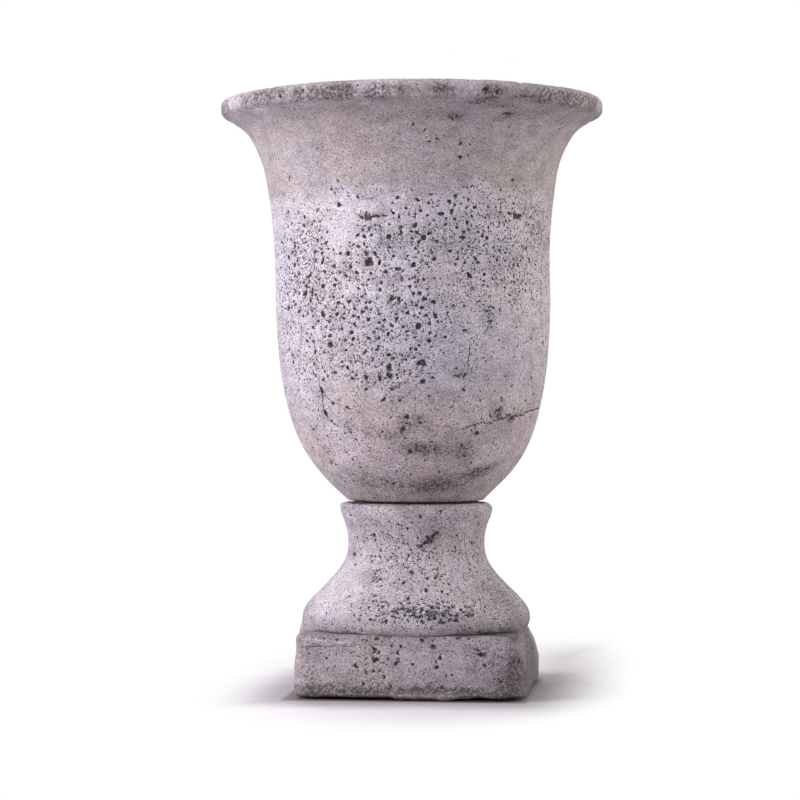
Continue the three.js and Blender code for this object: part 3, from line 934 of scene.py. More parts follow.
# Cracks, as (pixel path, width, depth)
BOWL_CRACKS = (
    (((302, 322), (301.4, 335), (300, 348), (299.3, 361.7), (298.4, 383.4)), 0.8, 0.8),
    (((298.4, 383.4), (296.4, 396), (293.8, 409)), 0.5, 0.4),
    (((310.7, 366.6), (317.7, 379), (322, 391)), 0.9, 0.9),
    (((322, 391), (322.5, 400), (323.1, 413.8), (327.5, 418.2), (334, 423), (341, 427.6)), 1.7, 1.4),
    (((322, 391), (327, 398), (333, 403.5)), 1, 0.8),
    (((471.3, 342), (469.8, 356), (467.6, 370)), 1.1, 0.8),
    (((440, 426.4), (449, 426.4), (458.6, 429)), 0.6, 0.5),
    (((456, 429.4), (467.2, 428), (472, 425), (480, 424), (486.8, 423.5), (495.4, 421.6)), 1.3, 0.9),
    (((495.4, 421.6), (503, 418.4), (511.7, 418.1), (520.4, 414.8), (528, 412), (539.2, 408.2)), 1.8, 1.4),
    (((488.8, 305.5), (489, 316), (488.4, 327), (482, 334)), 1.2, 0.45),
    (((381.6, 224), (381.2, 236), (381.8, 250)), 0.6, 0.3), (((383.6, 227), (384, 242)), 0.5, 0.25),
    (((359, 200), (368, 198.6), (377.5, 197.4)), 0.7, 0.3),
    (((401.2, 223), (401.6, 236), (401.4, 247)), 0.6, 0.35),
    (((529, 373.6), (533.4, 385.5), (531, 398)), 0.6, 0.4), (((545.6, 206), (545.9, 214)), 1, 0.6),
    (((414, 232.4), (419, 234.8), (423.6, 237.6)), 1.4, 1), (((540.4, 262), (540.8, 276)), 0.7, 0.4),
)

# Soft stains and painted shade, as (column, row, half width mm, half height mm, tilt, strength); the blots in
# the left crack at (322, 394) and (324, 414) and in the groove at (490, 318) are painted shade
BOWL_STAINS_AND_SHADE = (
    (350, 426, 4, 4, 0, 0.8), (415, 448, 12, 5, 0, 0.95), (407, 418, 3.5, 4, 60, 0.9),
    (403, 429, 5, 3, 20, 0.95), (421, 424, 8, 4, 0, 0.6), (388, 437, 10, 4, 0, 0.7),
    (440, 452, 14, 6, 0, 0.6), (465, 452, 8, 7, 0, 0.75), (498, 413, 5, 5, 0, 0.9),
    (372, 430, 7, 4, 0, 0.5), (512, 417, 8, 2.5, 20, 0.8), (487, 468, 13, 2.5, 16, 0.7),
    (470, 473, 10, 2.5, 12, 0.6), (441, 483, 10, 5, 10, 0.5), (462, 373, 7, 4, 0, 0.6),
    (322, 394, 3, 6, 100, 0.9), (324, 414, 4, 5, 120, 0.9), (315, 432, 5, 6, 100, 0.35),
    (372, 216, 8, 2.1, 4, 1), (372, 228, 9, 3, 0, 0.35), (383, 240, 5, 9, 0, 0.4),
    (404, 243, 14, 7, 0, 0.22), (477, 102, 14, 1.5, 3, 0.7), (500, 105.5, 12, 1.3, 3, 0.7),
    (530, 96.5, 14, 1.3, 3, 0.7), (453, 116, 4, 2.5, 0, 0.9), (462, 117, 6, 2, 0, 0.6),
    (508, 113.5, 4, 1.2, -8, 0.9), (488, 98.5, 8, 1, 4, 0.6), (545, 112, 12, 2.2, 12, 0.55),
    (500, 118, 18, 3, 6, 0.4), (280, 108, 12, 4, -8, 0.2), (384, 118, 16, 3, 0, 0.2),
    (490, 318, 4, 10, 0, 0.45), (473, 265, 6, 5, 0, 0.2), (446, 246, 3, 7, 90, 0.35),
    (508, 255, 14, 4, -30, 0.25), (458, 250, 7, 5, 0, 0.2), (395, 281, 7, 3, 25, 0.4),
    (410, 304, 9, 5, 15, 0.4), (414, 330, 5, 9, 70, 0.35), (476, 433, 3.5, 2.2, 0, 0.7),
    (340, 487, 14, 4, -35, 0.25), (300, 330, 2, 12, 2, 0.3), (296, 92, 4.5, 2.4, -10, 1),
    (317, 90.5, 6.5, 2.4, -5, 1), (346, 89, 6.5, 2.2, 0, 0.9), (400, 88.5, 10, 2.4, 0, 1),
    (436, 88.5, 7.5, 2.4, 0, 0.9), (491, 89.5, 5, 2.2, 0, 0.9), (567, 97, 7, 2.6, 15, 1),
    (595, 104, 4, 2.6, 20, 0.9), (530, 92, 7, 1.6, 5, 0.5), (265, 96, 7, 2, -12, 0.6),
    (400, 487, 22, 6, 0, 0.65), (440, 486, 18, 7, 0, 0.75), (478, 476, 12, 5, 14, 0.7),
    (365, 478, 12, 7, 0, 0.6), (492, 372, 24, 13, 0, 0.16), (512, 320, 14, 34, 0, 0.14),
    (375, 385, 26, 14, 0, 0.18), (330, 300, 26, 12, 0, 0.12), (420, 400, 18, 6, 0, 0.25),
    (372, 413, 12, 4, 0, 0.3), (505, 430, 10, 5, 20, 0.3),
)

# Areas with hardly any pores, and pale ones, in the same form
BOWL_CLEAN = (
    (339, 233, 8, 10, 0, 2.5), (281, 235, 5, 16, 0, 0.5), (372, 205, 16, 6, 0, 1),
    (380, 226, 10, 6, 0, 0.7), (287, 205, 8, 7, 0, 0.7), (308, 203, 22, 6, 0, 0.9),
    (352, 287, 5, 4, 0, 0.7), (352, 348, 6, 8, 0, 0.5), (440, 275, 10, 8, 0, 0.7),
    (505, 345, 14, 18, 0, 0.7), (530, 305, 12, 22, 0, 0.6), (300, 345, 8, 9, 0, 0.5),
    (495, 305, 8, 12, 0, 0.4), (400, 345, 6, 5, 0, 0.5), (445, 385, 22, 10, 0, 0.6),
    (420, 250, 5, 5, 0, 0.5),
)

BOWL_PALE = (
    (310, 215, 30, 12, 0, 0.2), (345, 228, 12, 13, 0, 0.9), (300, 205, 18, 6, 0, 0.15),
    (420, 208, 20, 7, 0, 0.5), (475, 200, 22, 7, 0, 0.5), (515, 226, 14, 12, 0, 0.5),
    (290, 335, 9, 14, 0, 0.4), (345, 290, 14, 10, 0, 0.35), (460, 412, 14, 7, 0, 0.35),
    (375, 91, 6, 1.6, 0, 0.9), (352, 205, 16, 5, 0, 0.4), (415, 95, 3, 3, 0, 0.5),
    (500, 450, 14, 8, 40, 0.25), (485, 492, 10, 3, 20, 0.2), (475, 248, 8, 7, 0, 0.35),
    (325, 416, 16, 14, 0, 0.7), (345, 455, 14, 6, 30, 0.4), (250, 106, 16, 4, -12, 0.9),
    (284, 100, 14, 3.5, -6, 0.5), (228, 106, 10, 5, 0, 1), (285, 155, 14, 16, 0, 0.25),
    (285, 320, 8, 30, 0, 0.25), (300, 375, 7, 12, 0, 0.5),
)


def bowl_chance(places):
    """How likely a pore is at each place, from 0 to 1."""
    height, side = places[:, 2], facing(places)
    front = np.abs(side) < PHOTOGRAPHED_SIDE
    band = between(height + 5 * noise(places, 34, 21) + 2.5 * noise(places, 11, 22), *BAND_HEIGHT)
    crowded = ramp(-side, -12, 6) * between(height, *CROWDED_HEIGHT)
    upper_right = between(side, *UPPER_RIGHT_SIDE) * between(height, *UPPER_RIGHT_HEIGHT)
    clumps = np.clip(0.62 + 0.85 * cloud(places, 38, 23, 3) + 0.3 * crowded + 0.45 * upper_right, 0.05, 1)
    thin = np.where(front, 0.75 + 0.25 * np.maximum(crowded, upper_right), 0.55)
    thin = thin * (1 - 0.75 * ramp(side, 20, 45) * ramp(-height, -242, -222) * front)
    thin = thin * (1 - 0.6 * ramp(side, 10, 40) * ramp(-height, -268, -240) * front)
    clean = 0.95 * np.clip(blots(bowl, BOWL_CLEAN, places), 0, 1)
    low = 0.1 * ramp(height, 135, 150) + 0.2 * ramp(cloud(places, 26, 24), 0.1, 0.5)
    low = (0.025 + low * 0.34) * (1 - 0.85 * ramp(height, 336, 342))
    return np.maximum(band * clumps * thin, low) * (1 - clean * front)


def bowl_crowd(places):
    """How closely the fine pores lie, from 0 to 1."""
    height, side = places[:, 2], facing(places)
    left = ramp(-side, -14, 8) * between(height, *FINE_LEFT_HEIGHT)
    right = between(side, *FINE_RIGHT_SIDE) * between(height, *FINE_RIGHT_HEIGHT)
    total = 0.55 + 0.6 * cloud(places, 30, 57, 2) + 0.3 * left + 0.15 * right
    total *= 1 - 0.5 * ramp(side, 30, 55) * ramp(-height, -285, -225)
    total *= 1 - 0.2 * between(-side, *THIN_LEFT_SIDE)
    clean = np.clip(blots(bowl, BOWL_CLEAN, places), 0, 1)
    return np.clip(total, 0.1, 1) * (1 - 0.95 * clean * (np.abs(side) < PHOTOGRAPHED_SIDE))


def bowl_sizes(count, places):
    """The radii of the strewn pores on the outer face."""
    side = facing(places)
    reach = 0.29 * np.exp(0.35 * cloud(places, 30, 25, 2)) * (1 - 0.45 * between(side, *SMALLER_SIDE))
    drawn = np.random.default_rng(5).exponential(1, count)
    return np.clip(0.5 + drawn * reach, 0.5, np.where(np.abs(side) < 80, 1.4, 2.0))


def inner_chance(places):
    """How likely a pore is inside the bowl."""
    return np.clip(0.5 + 0.6 * cloud(places, 40, 27), 0.1, 1)


def inner_sizes(count, _):
    """The radii of the pores inside the bowl."""
    return 0.7 + np.random.default_rng(6).exponential(0.45, count)


def bowl_strewn(taken):
    """The strewn pores of the outer face and of the inside."""
    outer = scatter(bowl, bowl.low + 3, bowl.high - 3, 20000, bowl_chance, bowl_sizes, 3, taken)
    inner = scatter(bowl, bowl_lip_s + 8, bowl_floor_s + 30, 560, inner_chance, inner_sizes, 4, [])
    return np.vstack([outer, inner])


def bowl_relief(places, s):
    """How far the real surface stands out from the true one: waves, layers, and the nibbled lip."""
    around = np.hypot(places[:, 0], places[:, 1])
    height = places[:, 2]
    outer = s < bowl_lip_s
    relief = 0.42 * cloud(places, 62, 31, 2) + 0.13 * cloud(places, 13, 34, 2)
    relief += 0.12 * cloud(places * (0.25, 0.25, 1), 9, 37, 2) * outer
    relief += np.where(outer, 0.0, 0.35 * cloud(places, 24, 39, 3))
    relief += 0.10 * ramp(-height, -210, -135) * outer * cloud(places, 6, 41, 2)
    lip = ramp(height, 381, 388)
    nibble = ramp(cloud(places, 8, 43, 3), 0.22, 0.75)
    worn = ramp(noise(places, 46, 46), -0.2, 0.6)
    relief -= lip * (0.95 * nibble * (0.35 + 0.65 * worn) + 0.10 * cloud(places, 3.2, 47, 2))
    relief += lip * 0.35 * noise(places, 30, 48)
    relief -= 0.55 * hump(height, 387, 1.3) * outer * ramp(noise(places, 18, 49), -0.7, 0.3)
    calm = ramp(around, 15.5, 24) * np.where(height < BOWL_FOOT + 0.6, 0.15, 1)
    return relief * calm


def bowl_paint(places, s):
    """Where the bowl is stained or carries painted shade, pale, darker inside and crowded with fine pores,
    from 0 to 1.
    """
    height = places[:, 2]
    outer = s < bowl_lip_s
    behind = np.abs(facing(places)) > 85
    smudges = 0.8 * ramp(cloud(places, 30, 51), 0.35, 0.8) * ramp(-height, -260, -200)
    streaks = 0.7 * ramp(cloud(places * (1, 1, 3), 40, 53), 0.4, 0.8) * ramp(height, 360, 380)
    stain = blots(bowl, BOWL_STAINS_AND_SHADE, places) * outer
    stain = np.maximum.reduce([stain, behind * smudges, behind * streaks])
    washed = 0.8 * ramp(cloud(places, 45, 55), 0.2, 0.7) * between(height, *PALE_BEHIND_HEIGHT)
    pale = np.maximum(blots(bowl, BOWL_PALE, places) * outer, behind * washed)
    inside = np.where(outer, 0.0, ramp(s, bowl_lip_s + 4, bowl_lip_s + 14))
    crowd = np.where(outer, bowl_crowd(places), 0.5)
    return {"stain": stain, "pale": pale, "inside": inside, "crowd": crowd}


# Hair cracks behind, as (angle in degrees, s, heading, length)
BOWL_HAIRS = (
    (70, bowl.low + 150, -80, 70),
    (125, bowl.low + 100, 25, 60),
    (20, bowl.low + 75, -60, 40),
    (190, bowl.low + 210, -95, 60),
    (150, bowl.low + 60, 150, 45),
)
bowl_piece = cast(
    "bowl_casting",
    Cloth(bowl, 11),
    spacing=bowl_spacing,
    marks=(*BOWL_PORES, *torn(BOWL_TORN, 201)),
    holes=(bowl_curve, 34, (0.3, 0.74), 1.0),
    lines=BOWL_CRACKS,
    starts=BOWL_HAIRS,
    strewn=bowl_strewn,
    relief=bowl_relief,
    painted=bowl_paint,
)


# The pedestal

# Regions of the pedestal as (start, full, fading, end): heights in mm, sides in degrees
LEFT_SIDE = (58, 76, 106, 128)
FILLED_HEIGHT = (28, 38, 46, 50)
WORN_SIDE_HEIGHT = (22, 37)
STREWN_HEIGHT = (52, 60, 112, 122)
CLEAR_HEIGHT = (60, 66, 80, 92)
SMOOTH_SIDE, SMOOTH_HEIGHT = (18, 40, 85, 100), (46, 54, 84, 98)
# The dense row of pores on the flare: its height and half its width
ROW_HEIGHT, ROW_HALF = 60, 8.5


def pedestal_shift(places):
    """The plinth lies off the axis, and its foot is uneven where it meets the floor."""
    height, side = places[:, 2], facing(places)
    around = np.hypot(places[:, 0], places[:, 1])
    outer = ramp(around, 56, 64)
    shift = (PLINTH_OFFSET * ramp(-height, -43, -30) * outer)[:, None] * view_right
    left, right = between(-side, *LEFT_SIDE), ramp(side, 58, 78)
    closed = np.where(np.abs(side) < 120, 0.45 + 0.5 * ramp(np.abs(side + 4), 38, 66), 0.75)
    closed = np.maximum(closed, left)
    edge = 76.5 - 1.1 * hump(height, 41.6, 0.9) * (1 - left)
    edge += left * (1.3 + 2.3 * ramp(-height, -45.5, -38)) - 1.4 * right * ramp(height, 40, 43)
    fill = np.clip(edge - around, 0, 8) * closed * between(height, *FILLED_HEIGHT) * ramp(around, 69, 70.5)
    back_edge = ramp(side, 96, 112)
    fill -= 2.8 * back_edge * ramp(height, *WORN_SIDE_HEIGHT) * ramp(around, 76, 82)
    fill += back_edge * ramp(-height, -24, -18) * ramp(around, 80, 86)
    collar = hump(height, 126.2, 1.7) * ramp(around, 46, 48)
    fill += 1.2 * collar * (ramp(-side, 40, 75) - ramp(side, 40, 75))
    shift[:, :2] += places[:, :2] / around[:, None] * fill[:, None]
    across = np.abs(places @ view_right)
    lifted = ramp(np.abs(places @ view_right - 2), 14, 24) * ramp(-across, -74, -58)
    lifted = 0.4 + 1.5 * lifted + 0.25 * noise(places * (1, 1, 0), 12, 81)
    shift[:, 2] += np.clip(lifted, 0, None) * ramp(-height, -7, 0) * outer
    return shift


pedestal_rows, pedestal_curve = pedestal_profile()
pedestal = Casting(pedestal_rows, pedestal_shift, 0.5)
_, profile_height, squareness, _ = pedestal.fine.T
pedestal.low = pedestal.first((squareness > 0.97) & (profile_height > 3))
pedestal.high = pedestal.first(profile_height > SEAT_HEIGHT - 0.6)
crease_s = pedestal.first((squareness < 0.5) & (pedestal.s > pedestal.low))
above_crease = (squareness < 0.5) & (pedestal.s > crease_s)
pedestal.wall = (pedestal.first((profile_height > SWELLING_HEIGHT) & above_crease) - 1, pedestal.high - 12)


def pedestal_spacing(s):
    """The gap between mesh points: fine at the crease, coarse inside."""
    if s < pedestal.low - 12 or s > pedestal.high + 6:
        return 4.0
    if s < pedestal.low + 3:
        return 2.0
    return 1.35 if abs(s - crease_s) < 9 else 2.1


# The same tables as for the bowl, in the same forms
PEDESTAL_PORES = (
    (421, 546, 1.5, 1.4, 45), (425, 543, 1.7, 1.4, 50), (429, 539.4, 1.6, 1.5, 40),
    (433.5, 536, 1.8, 1.5, 45), (437, 533, 1.6, 1.3, 40), (427, 537, 1.3, 1.2, 0), (431, 542, 1.2, 1.2, 0),
    (420.5, 517, 1.5, 1.2, 0), (374, 535, 1.7, 1.2, 0), (375.5, 540, 1.2, 1, 0), (476.5, 517.2, 1.2, 1, 0),
    (354, 554, 2, 1.5, 30), (373, 581, 1.3, 1.1, 0), (380, 579, 1.7, 2.6, 35), (408.4, 598, 1.9, 1.5, 80),
    (409.3, 603, 1.6, 1.2, 0), (412, 572, 1.9, 2.4, 160), (427.4, 578.5, 1.4, 1, 0),
    (436, 577, 1.8, 1.2, 0), (426.4, 590, 2.2, 1.3, 70), (432.4, 607.5, 2.2, 1, 0), (422, 609, 2, 1.2, 0),
    (443, 614.5, 2.3, 1.2, 20), (435, 617.6, 1.8, 1.3, 140), (429.6, 619, 1.8, 1.2, 0),
    (443.2, 622.6, 1.8, 1.3, 10), (421.5, 616.5, 1.8, 1.1, 0), (408.6, 611, 1.9, 1.4, 20),
    (386, 621.5, 1.7, 1.1, 0), (461, 609.5, 1.6, 1.1, 0), (422.5, 622, 1.7, 1.6, 120),
    (449, 607.5, 1.5, 1.2, 0), (396.5, 613, 1.6, 1.5, 10), (413.6, 615, 1.5, 1.2, 0),
    (360.5, 608, 1.2, 1.1, 0), (470, 569.5, 1.2, 1.4, 60), (377, 638.6, 1.9, 1.4, 0),
    (422, 640, 1.8, 1.2, 0), (458, 638, 1.7, 1.3, 0), (468.5, 638, 1.3, 1.1, 0), (374.6, 649, 2, 1.4, 140),
    (379, 652, 1.4, 1.5, 100), (376, 660, 2.5, 1.3, 5), (391.6, 646, 1.3, 1, 0), (401, 646.4, 1.5, 1.3, 40),
    (398, 653, 1.5, 2, 90), (396, 663.4, 1.8, 1.2, 80), (412.6, 664.4, 1.4, 1.1, 0),
    (433.8, 647, 2.3, 1.1, 0), (436.7, 667.4, 1.8, 1.2, 0), (436, 661, 1, 1, 0), (356, 666, 1.9, 1.6, 110),
    (373.4, 671, 1.3, 1, 0), (366, 672.4, 1, 1, 0), (379.4, 671, 1, 1, 0), (384.3, 677, 1.5, 1.2, 130),
    (481.5, 654.6, 2.4, 2, 170), (484.5, 665.6, 1.4, 1.4, 0), (520, 662, 1.6, 1.4, 60),
    (299.6, 651, 1.8, 1.2, 0), (363.5, 684, 1.4, 1, 0), (501, 682, 1.3, 1.3, 0), (452, 675, 1.1, 1, 0),
    (391, 686, 1, 1, 0),
)

PEDESTAL_TORN = (
    (421, 546, 2, 1.4, 6, 0.8), (429, 540, 2, 1.4, 7, 0.9), (437, 534, 2, 1.2, 6, 0.8),
    (377, 577, 4, 3, 9, 0.8), (430, 611, 14, 5, 22, 1.2), (386, 615, 12, 4, 16, 0.8),
    (459, 610, 9, 4, 14, 1.2), (438, 576, 6, 4, 8, 0.8), (388, 655, 9, 6, 12, 0.8), (478, 652, 5, 3, 10, 1),
    (412, 556, 24, 9, 30, 0.7), (437, 614, 10, 4, 20, 1.5), (400, 612, 12, 3.5, 18, 1.4),
)

PEDESTAL_CRACKS = (
    (((418, 549), (424, 542), (431, 536), (438, 531)), 1.4, 0.8),
    (((423, 549), (431, 542), (440, 536)), 1.2, 0.7),
    (((478, 590), (474, 575), (468, 560), (465, 545), (464, 530)), 0.6, 0.22),
    (((296, 646.5), (330, 647), (365, 645), (392, 646)), 0.7, 0.25), (((446, 666), (456, 670)), 0.7, 0.3),
)

# Soft stains and painted shade: the thin blots along the crease at rows 633 to 636 and the large blots on the
# plinth's right face are painted shade
PEDESTAL_STAINS_AND_SHADE = (
    (505, 634, 14, 2.4, 4, 0.9), (497, 633, 8, 2.8, 4, 0.9), (480, 655, 8, 4, 0, 0.6),
    (475, 668, 9, 5, 0, 0.55), (512, 636, 8, 3, 0, 0.7), (360, 690, 9, 3, 0, 0.5),
    (325, 694, 20, 3, 0, 0.7), (372, 692, 22, 3.5, 0, 0.75), (425, 694, 20, 3, 0, 0.5),
    (490, 694, 24, 3.5, 0, 0.6), (529, 672, 26, 22, 0, 1.4), (536.5, 672, 34, 26, 0, 1.8),
    (517, 672, 9, 16, 0, 1.2), (518, 692, 14, 7, 0, 1), (517, 683, 8, 10, 0, 0.6),
    (500, 600, 14, 12, 0, 0.4), (476, 545, 7, 16, 0, 0.25), (515, 612, 12, 14, 0, 0.35),
    (505, 580, 10, 14, 30, 0.3), (372, 577, 9, 6, 0, 0.3), (429, 540, 9, 3, 40, 0.8),
    (418, 615, 32, 3.5, 0, 0.3), (352, 508, 10, 2.5, 0, 0.45), (403, 508, 7, 1.8, -12, 0.5),
    (300, 640, 6, 4, 0, 0.4), (354, 554, 5, 4, 0, 0.35), (412, 573, 7, 3, 160, 0.3),
    (485, 575, 9, 18, 20, 0.18), (360, 524, 18, 5, 0, 0.18), (392, 538, 26, 6, 0, 0.15),
    (470, 633, 20, 2, 0, 0.4), (330, 634, 22, 2, -8, 0.3), (307, 655, 8, 7, 0, 0.22),
    (455, 680, 26, 5, 0, 0.15),
)

# Pale places and a painted highlight: the two tilted blots at (333, 598) and (335, 580) on the flare's left
# are a painted highlight
PEDESTAL_PALE_AND_HIGHLIGHT = (
    (333, 598, 12, 16, -40, 0.9), (335, 580, 8, 12, -40, 0.8), (356, 600, 8, 8, 0, 0.4),
    (320, 640, 14, 0.8, -7, 0.9), (345, 643, 18, 0.7, -4, 0.8), (420, 560, 24, 10, 0, 0.3),
    (408, 700, 15, 1.1, 0, 1), (350, 696, 7, 1, 3, 1), (450, 699.5, 8, 1, 0, 0.8),
    (340, 670, 22, 9, 0, 0.2), (450, 512, 18, 4, 0, 0.3), (505, 612, 12, 5, 0, 0.2),
    (425, 625, 30, 3, 0, 0.3),
)


def pedestal_row(places):
    """The dense row of pores low on the flare, from 0 to 1."""
    height, side = places[:, 2], facing(places)
    row = ramp(-np.abs(height - ROW_HEIGHT - 3 * noise(places, 20, 84)), -ROW_HALF, -2)
    front, behind = ramp(-np.abs(side - 3), -42, -24), ramp(cloud(places, 50, 86), 0, 0.4)
    return row * np.where(np.abs(side) < 75, front, behind)


def pedestal_chance(places):
    """How likely a pore is at each place, from 0 to 1."""
    height, side = places[:, 2], facing(places)
    clumps = np.clip(0.5 + 0.9 * cloud(places, 30, 83, 3), 0.04, 1)
    front = np.abs(side) < 75
    upper = 0.22 * between(height, *STREWN_HEIGHT) * clumps
    lower = np.where(front, 0.05, 0.16) * ramp(-height, -43, -38) * clumps
    clear = 1 - 0.75 * ramp(-side, 22, 40) * between(height, *CLEAR_HEIGHT) * front
    least = np.full(len(places), 0.03)
    return np.maximum.reduce([upper * clear, lower, 0.95 * pedestal_row(places), least])


def pedestal_sizes(count, places):
    """The radii of the strewn pores, larger in the row."""
    reach = 0.19 * (1 + 1.3 * pedestal_row(places) * ramp(-np.abs(facing(places) - 2), -34, -18))
    return np.clip(0.48 + np.random.default_rng(8).exponential(1, count) * reach, 0.48, 1.8)


def pedestal_strewn(taken):
    """The strewn pores."""
    low, high = pedestal.low, pedestal.high - 2
    return scatter(pedestal, low, high, 12500, pedestal_chance, pedestal_sizes, 9, taken)


def pedestal_relief(places, s):
    """How far the real surface stands out: waves, layers, worn edges, the crease and its bead."""
    around = np.hypot(places[:, 0], places[:, 1])
    height, side = places[:, 2], facing(places)
    outer = (s > pedestal.low - 8) & (s < pedestal.high + 6)
    relief = 0.36 * cloud(places, 48, 91, 2) + 0.12 * cloud(places, 11, 94, 2)
    relief += 0.10 * cloud(places * (0.3, 0.3, 1), 8, 96, 2) * outer
    relief += np.where(outer, 0.0, 0.5 * cloud(places, 16, 98, 3))
    squarish = ramp(-height, -46, -41)
    arris = squarish * ramp(height, 33, 39) * outer
    relief -= arris * 0.9 * ramp(cloud(places, 11, 100, 3), 0.1, 0.8)
    foot = ramp(-height, -9, -2) * outer
    relief -= foot * 1.1 * ramp(cloud(places, 9, 103, 3), 0.05, 0.7)
    relief += foot * 0.2 * cloud(places, 3.5, 105, 2)
    corner = ramp(around, 88, 100) * squarish
    relief -= corner * (0.5 + 0.9 * ramp(noise(places, 16, 107), -0.2, 0.7))
    past_crease = s - crease_s
    relief -= 0.6 * hump(past_crease, 0.8, 0.9) * (0.7 + 0.5 * noise(places, 14, 109))
    bead = hump(past_crease, -2.6, 0.8) * ramp(-np.abs(side + 36), -26, -16)
    relief += 0.65 * bead * (0.8 + 0.5 * noise(places, 7, 110))
    lump = hump(side, 62, 7) * hump(height, 43, 3.5) * outer
    relief += 0.9 * lump * (0.8 + 0.6 * noise(places, 5, 112))
    calm = ramp(around, 14.5, 20) * np.where(height > SEAT_HEIGHT - 0.3, 0.3, 1)
    return relief * calm


def pedestal_paint(places, s):
    """Where the pedestal is stained or carries painted shade, pale or carries a painted highlight, darker
    inside and crowded with fine pores, from 0 to 1.
    """
    height, side = places[:, 2], facing(places)
    around = np.hypot(places[:, 0], places[:, 1])
    outer = (s > pedestal.low - 10) & (s < pedestal.high + 4)
    pale = blots(pedestal, PEDESTAL_PALE_AND_HIGHLIGHT, places) * outer
    # Painted shade along the crease between the swelling and the plinth
    crease_shade = 0.75 * hump(s - crease_s, 0.6, 1.5) * ramp(noise(places, 17, 121), -0.6, 0.4)
    edge = -9.5 + 2.5 * noise(places, 16, 127) + 1.2 * noise(places, 5, 128)
    foot = ramp(-height, edge - 1.0, edge + 0.4) * (0.64 + 0.36 * ramp(cloud(places, 12, 122), -0.5, 0.3))
    foot *= outer * (1 - np.clip(pale, 0, 1))
    behind = (np.abs(side) > 80) * 0.7 * ramp(cloud(places, 26, 123), 0.3, 0.75) * outer
    # Painted shade on the seat's rim in the gap under the bowl's foot
    seat_gap_shade = 0.6 * (height > SEAT_HEIGHT - 1) * ramp(-around, -49, -44)
    stain = blots(pedestal, PEDESTAL_STAINS_AND_SHADE, places) * outer
    stain = np.maximum.reduce([stain, crease_shade, foot, behind, seat_gap_shade])
    # Darker inside the core and the socket, and a little on the seat under the bowl
    inside = np.where(outer, 0.0, 1.0) * np.where(height > SEAT_HEIGHT - 2, 0.3, 1)
    crowd = np.clip(0.72 + 0.6 * cloud(places, 24, 125, 2), 0.15, 1)
    crowd *= 1 - 0.8 * between(-side, *SMOOTH_SIDE) * between(height, *SMOOTH_HEIGHT)
    return {"stain": stain, "pale": pale, "inside": inside, "crowd": crowd}


PEDESTAL_HAIRS = (
    (80, pedestal.high - 30, -70, 30),
    (170, crease_s + 30, -110, 28),
    (120, pedestal.low + 26, -60, 24),
)
pedestal_piece = cast(
    "pedestal_casting",
    Cloth(pedestal, 12),
    spacing=pedestal_spacing,
    marks=(*PEDESTAL_PORES, *torn(PEDESTAL_TORN, 301)),
    holes=(pedestal_curve, 14, (0.06, 0.5), 0.6),
    lines=PEDESTAL_CRACKS,
    starts=PEDESTAL_HAIRS,
    strewn=pedestal_strewn,
    relief=pedestal_relief,
    painted=pedestal_paint,
)


# The tube, the mortar and its crumbs

TUBE_COUNT, RING_COUNT = 128, 200
CRUMB_ROWS, CRUMB_COUNT = 4, 7
CRUMB_WIDE, CRUMB_TALL = 1.2, 0.55
RING_SINK, RING_GAP = 0.25, 0.02


def turned(name, profile, count, uneven):
    """A closed ring: a profile of (radius, height) turned round the axis, with uneven(points) mm added."""
    radius, height = np.asarray(profile, float).T[:, :, None]
    angle = np.arange(count) * TURN / count
    points = np.stack([radius * np.cos(angle), radius * np.sin(angle), height + 0 * angle], -1).reshape(-1, 3)
    rows = len(profile)
    faces = []
    for row in range(rows):
        here, above = row * count, (row + 1) % rows * count
        for i in range(count):
            j = (i + 1) % count
            faces.append((here + i, here + j, above + j, above + i))
    mesh = meshed(name, points + uneven(points), faces)
    smooth(mesh, 40)
    return linked(name, mesh)


def thick_line(a, b, steps):
    """Points from a towards b, without b itself."""
    return [tuple(np.array(a) + (np.array(b) - np.array(a)) * i / steps) for i in range(steps)]


def outward_and_up(points, outward, up):
    """Moves of these sizes, away from the axis and upwards."""
    out = points * (1, 1, 0) / np.hypot(points[:, 0], points[:, 1])[:, None]
    return out * outward[:, None] + np.c_[np.zeros((len(points), 2)), up]


def tube_uneven(points):
    """Small dents, a wavy sawn end and the raised weld seam inside the tube."""
    around = np.hypot(points[:, 0], points[:, 1])
    angle = np.arctan2(points[:, 1], points[:, 0])
    dent = -0.10 * ramp(cloud(points, 11, 131), 0.2, 0.9)
    seam = -0.35 * hump(angle * around, 2.0 * around, 0.7) * (around < DRAIN_RADIUS + 0.6)
    end = 0.12 * noise(points, 9, 133) * ramp(points[:, 2], TUBE_TOP - 3, TUBE_TOP)
    return outward_and_up(points, dent + seam, -np.abs(end))


def ring_uneven(points):
    """Ragged squeezed-out edges, and a torn top that only reaches the bowl in places."""
    around = np.hypot(points[:, 0], points[:, 1])
    edge = ramp(around, RING_OUTER - 4, RING_OUTER) - ramp(-around, -RING_INNER - 4, -RING_INNER)
    ragged = 1.3 * (cloud(points * (1, 1, 0.5), 9, 141) - 0.6) + 0.5 * cloud(points, 3, 144)
    down = -0.45 * ramp(cloud(points, 6, 147), -0.1, 0.7) - 0.12 * (1 + cloud(points, 2, 149))
    return outward_and_up(points, edge * ragged, np.where(points[:, 2] > SEAT_HEIGHT + 0.6, down, 0.0))


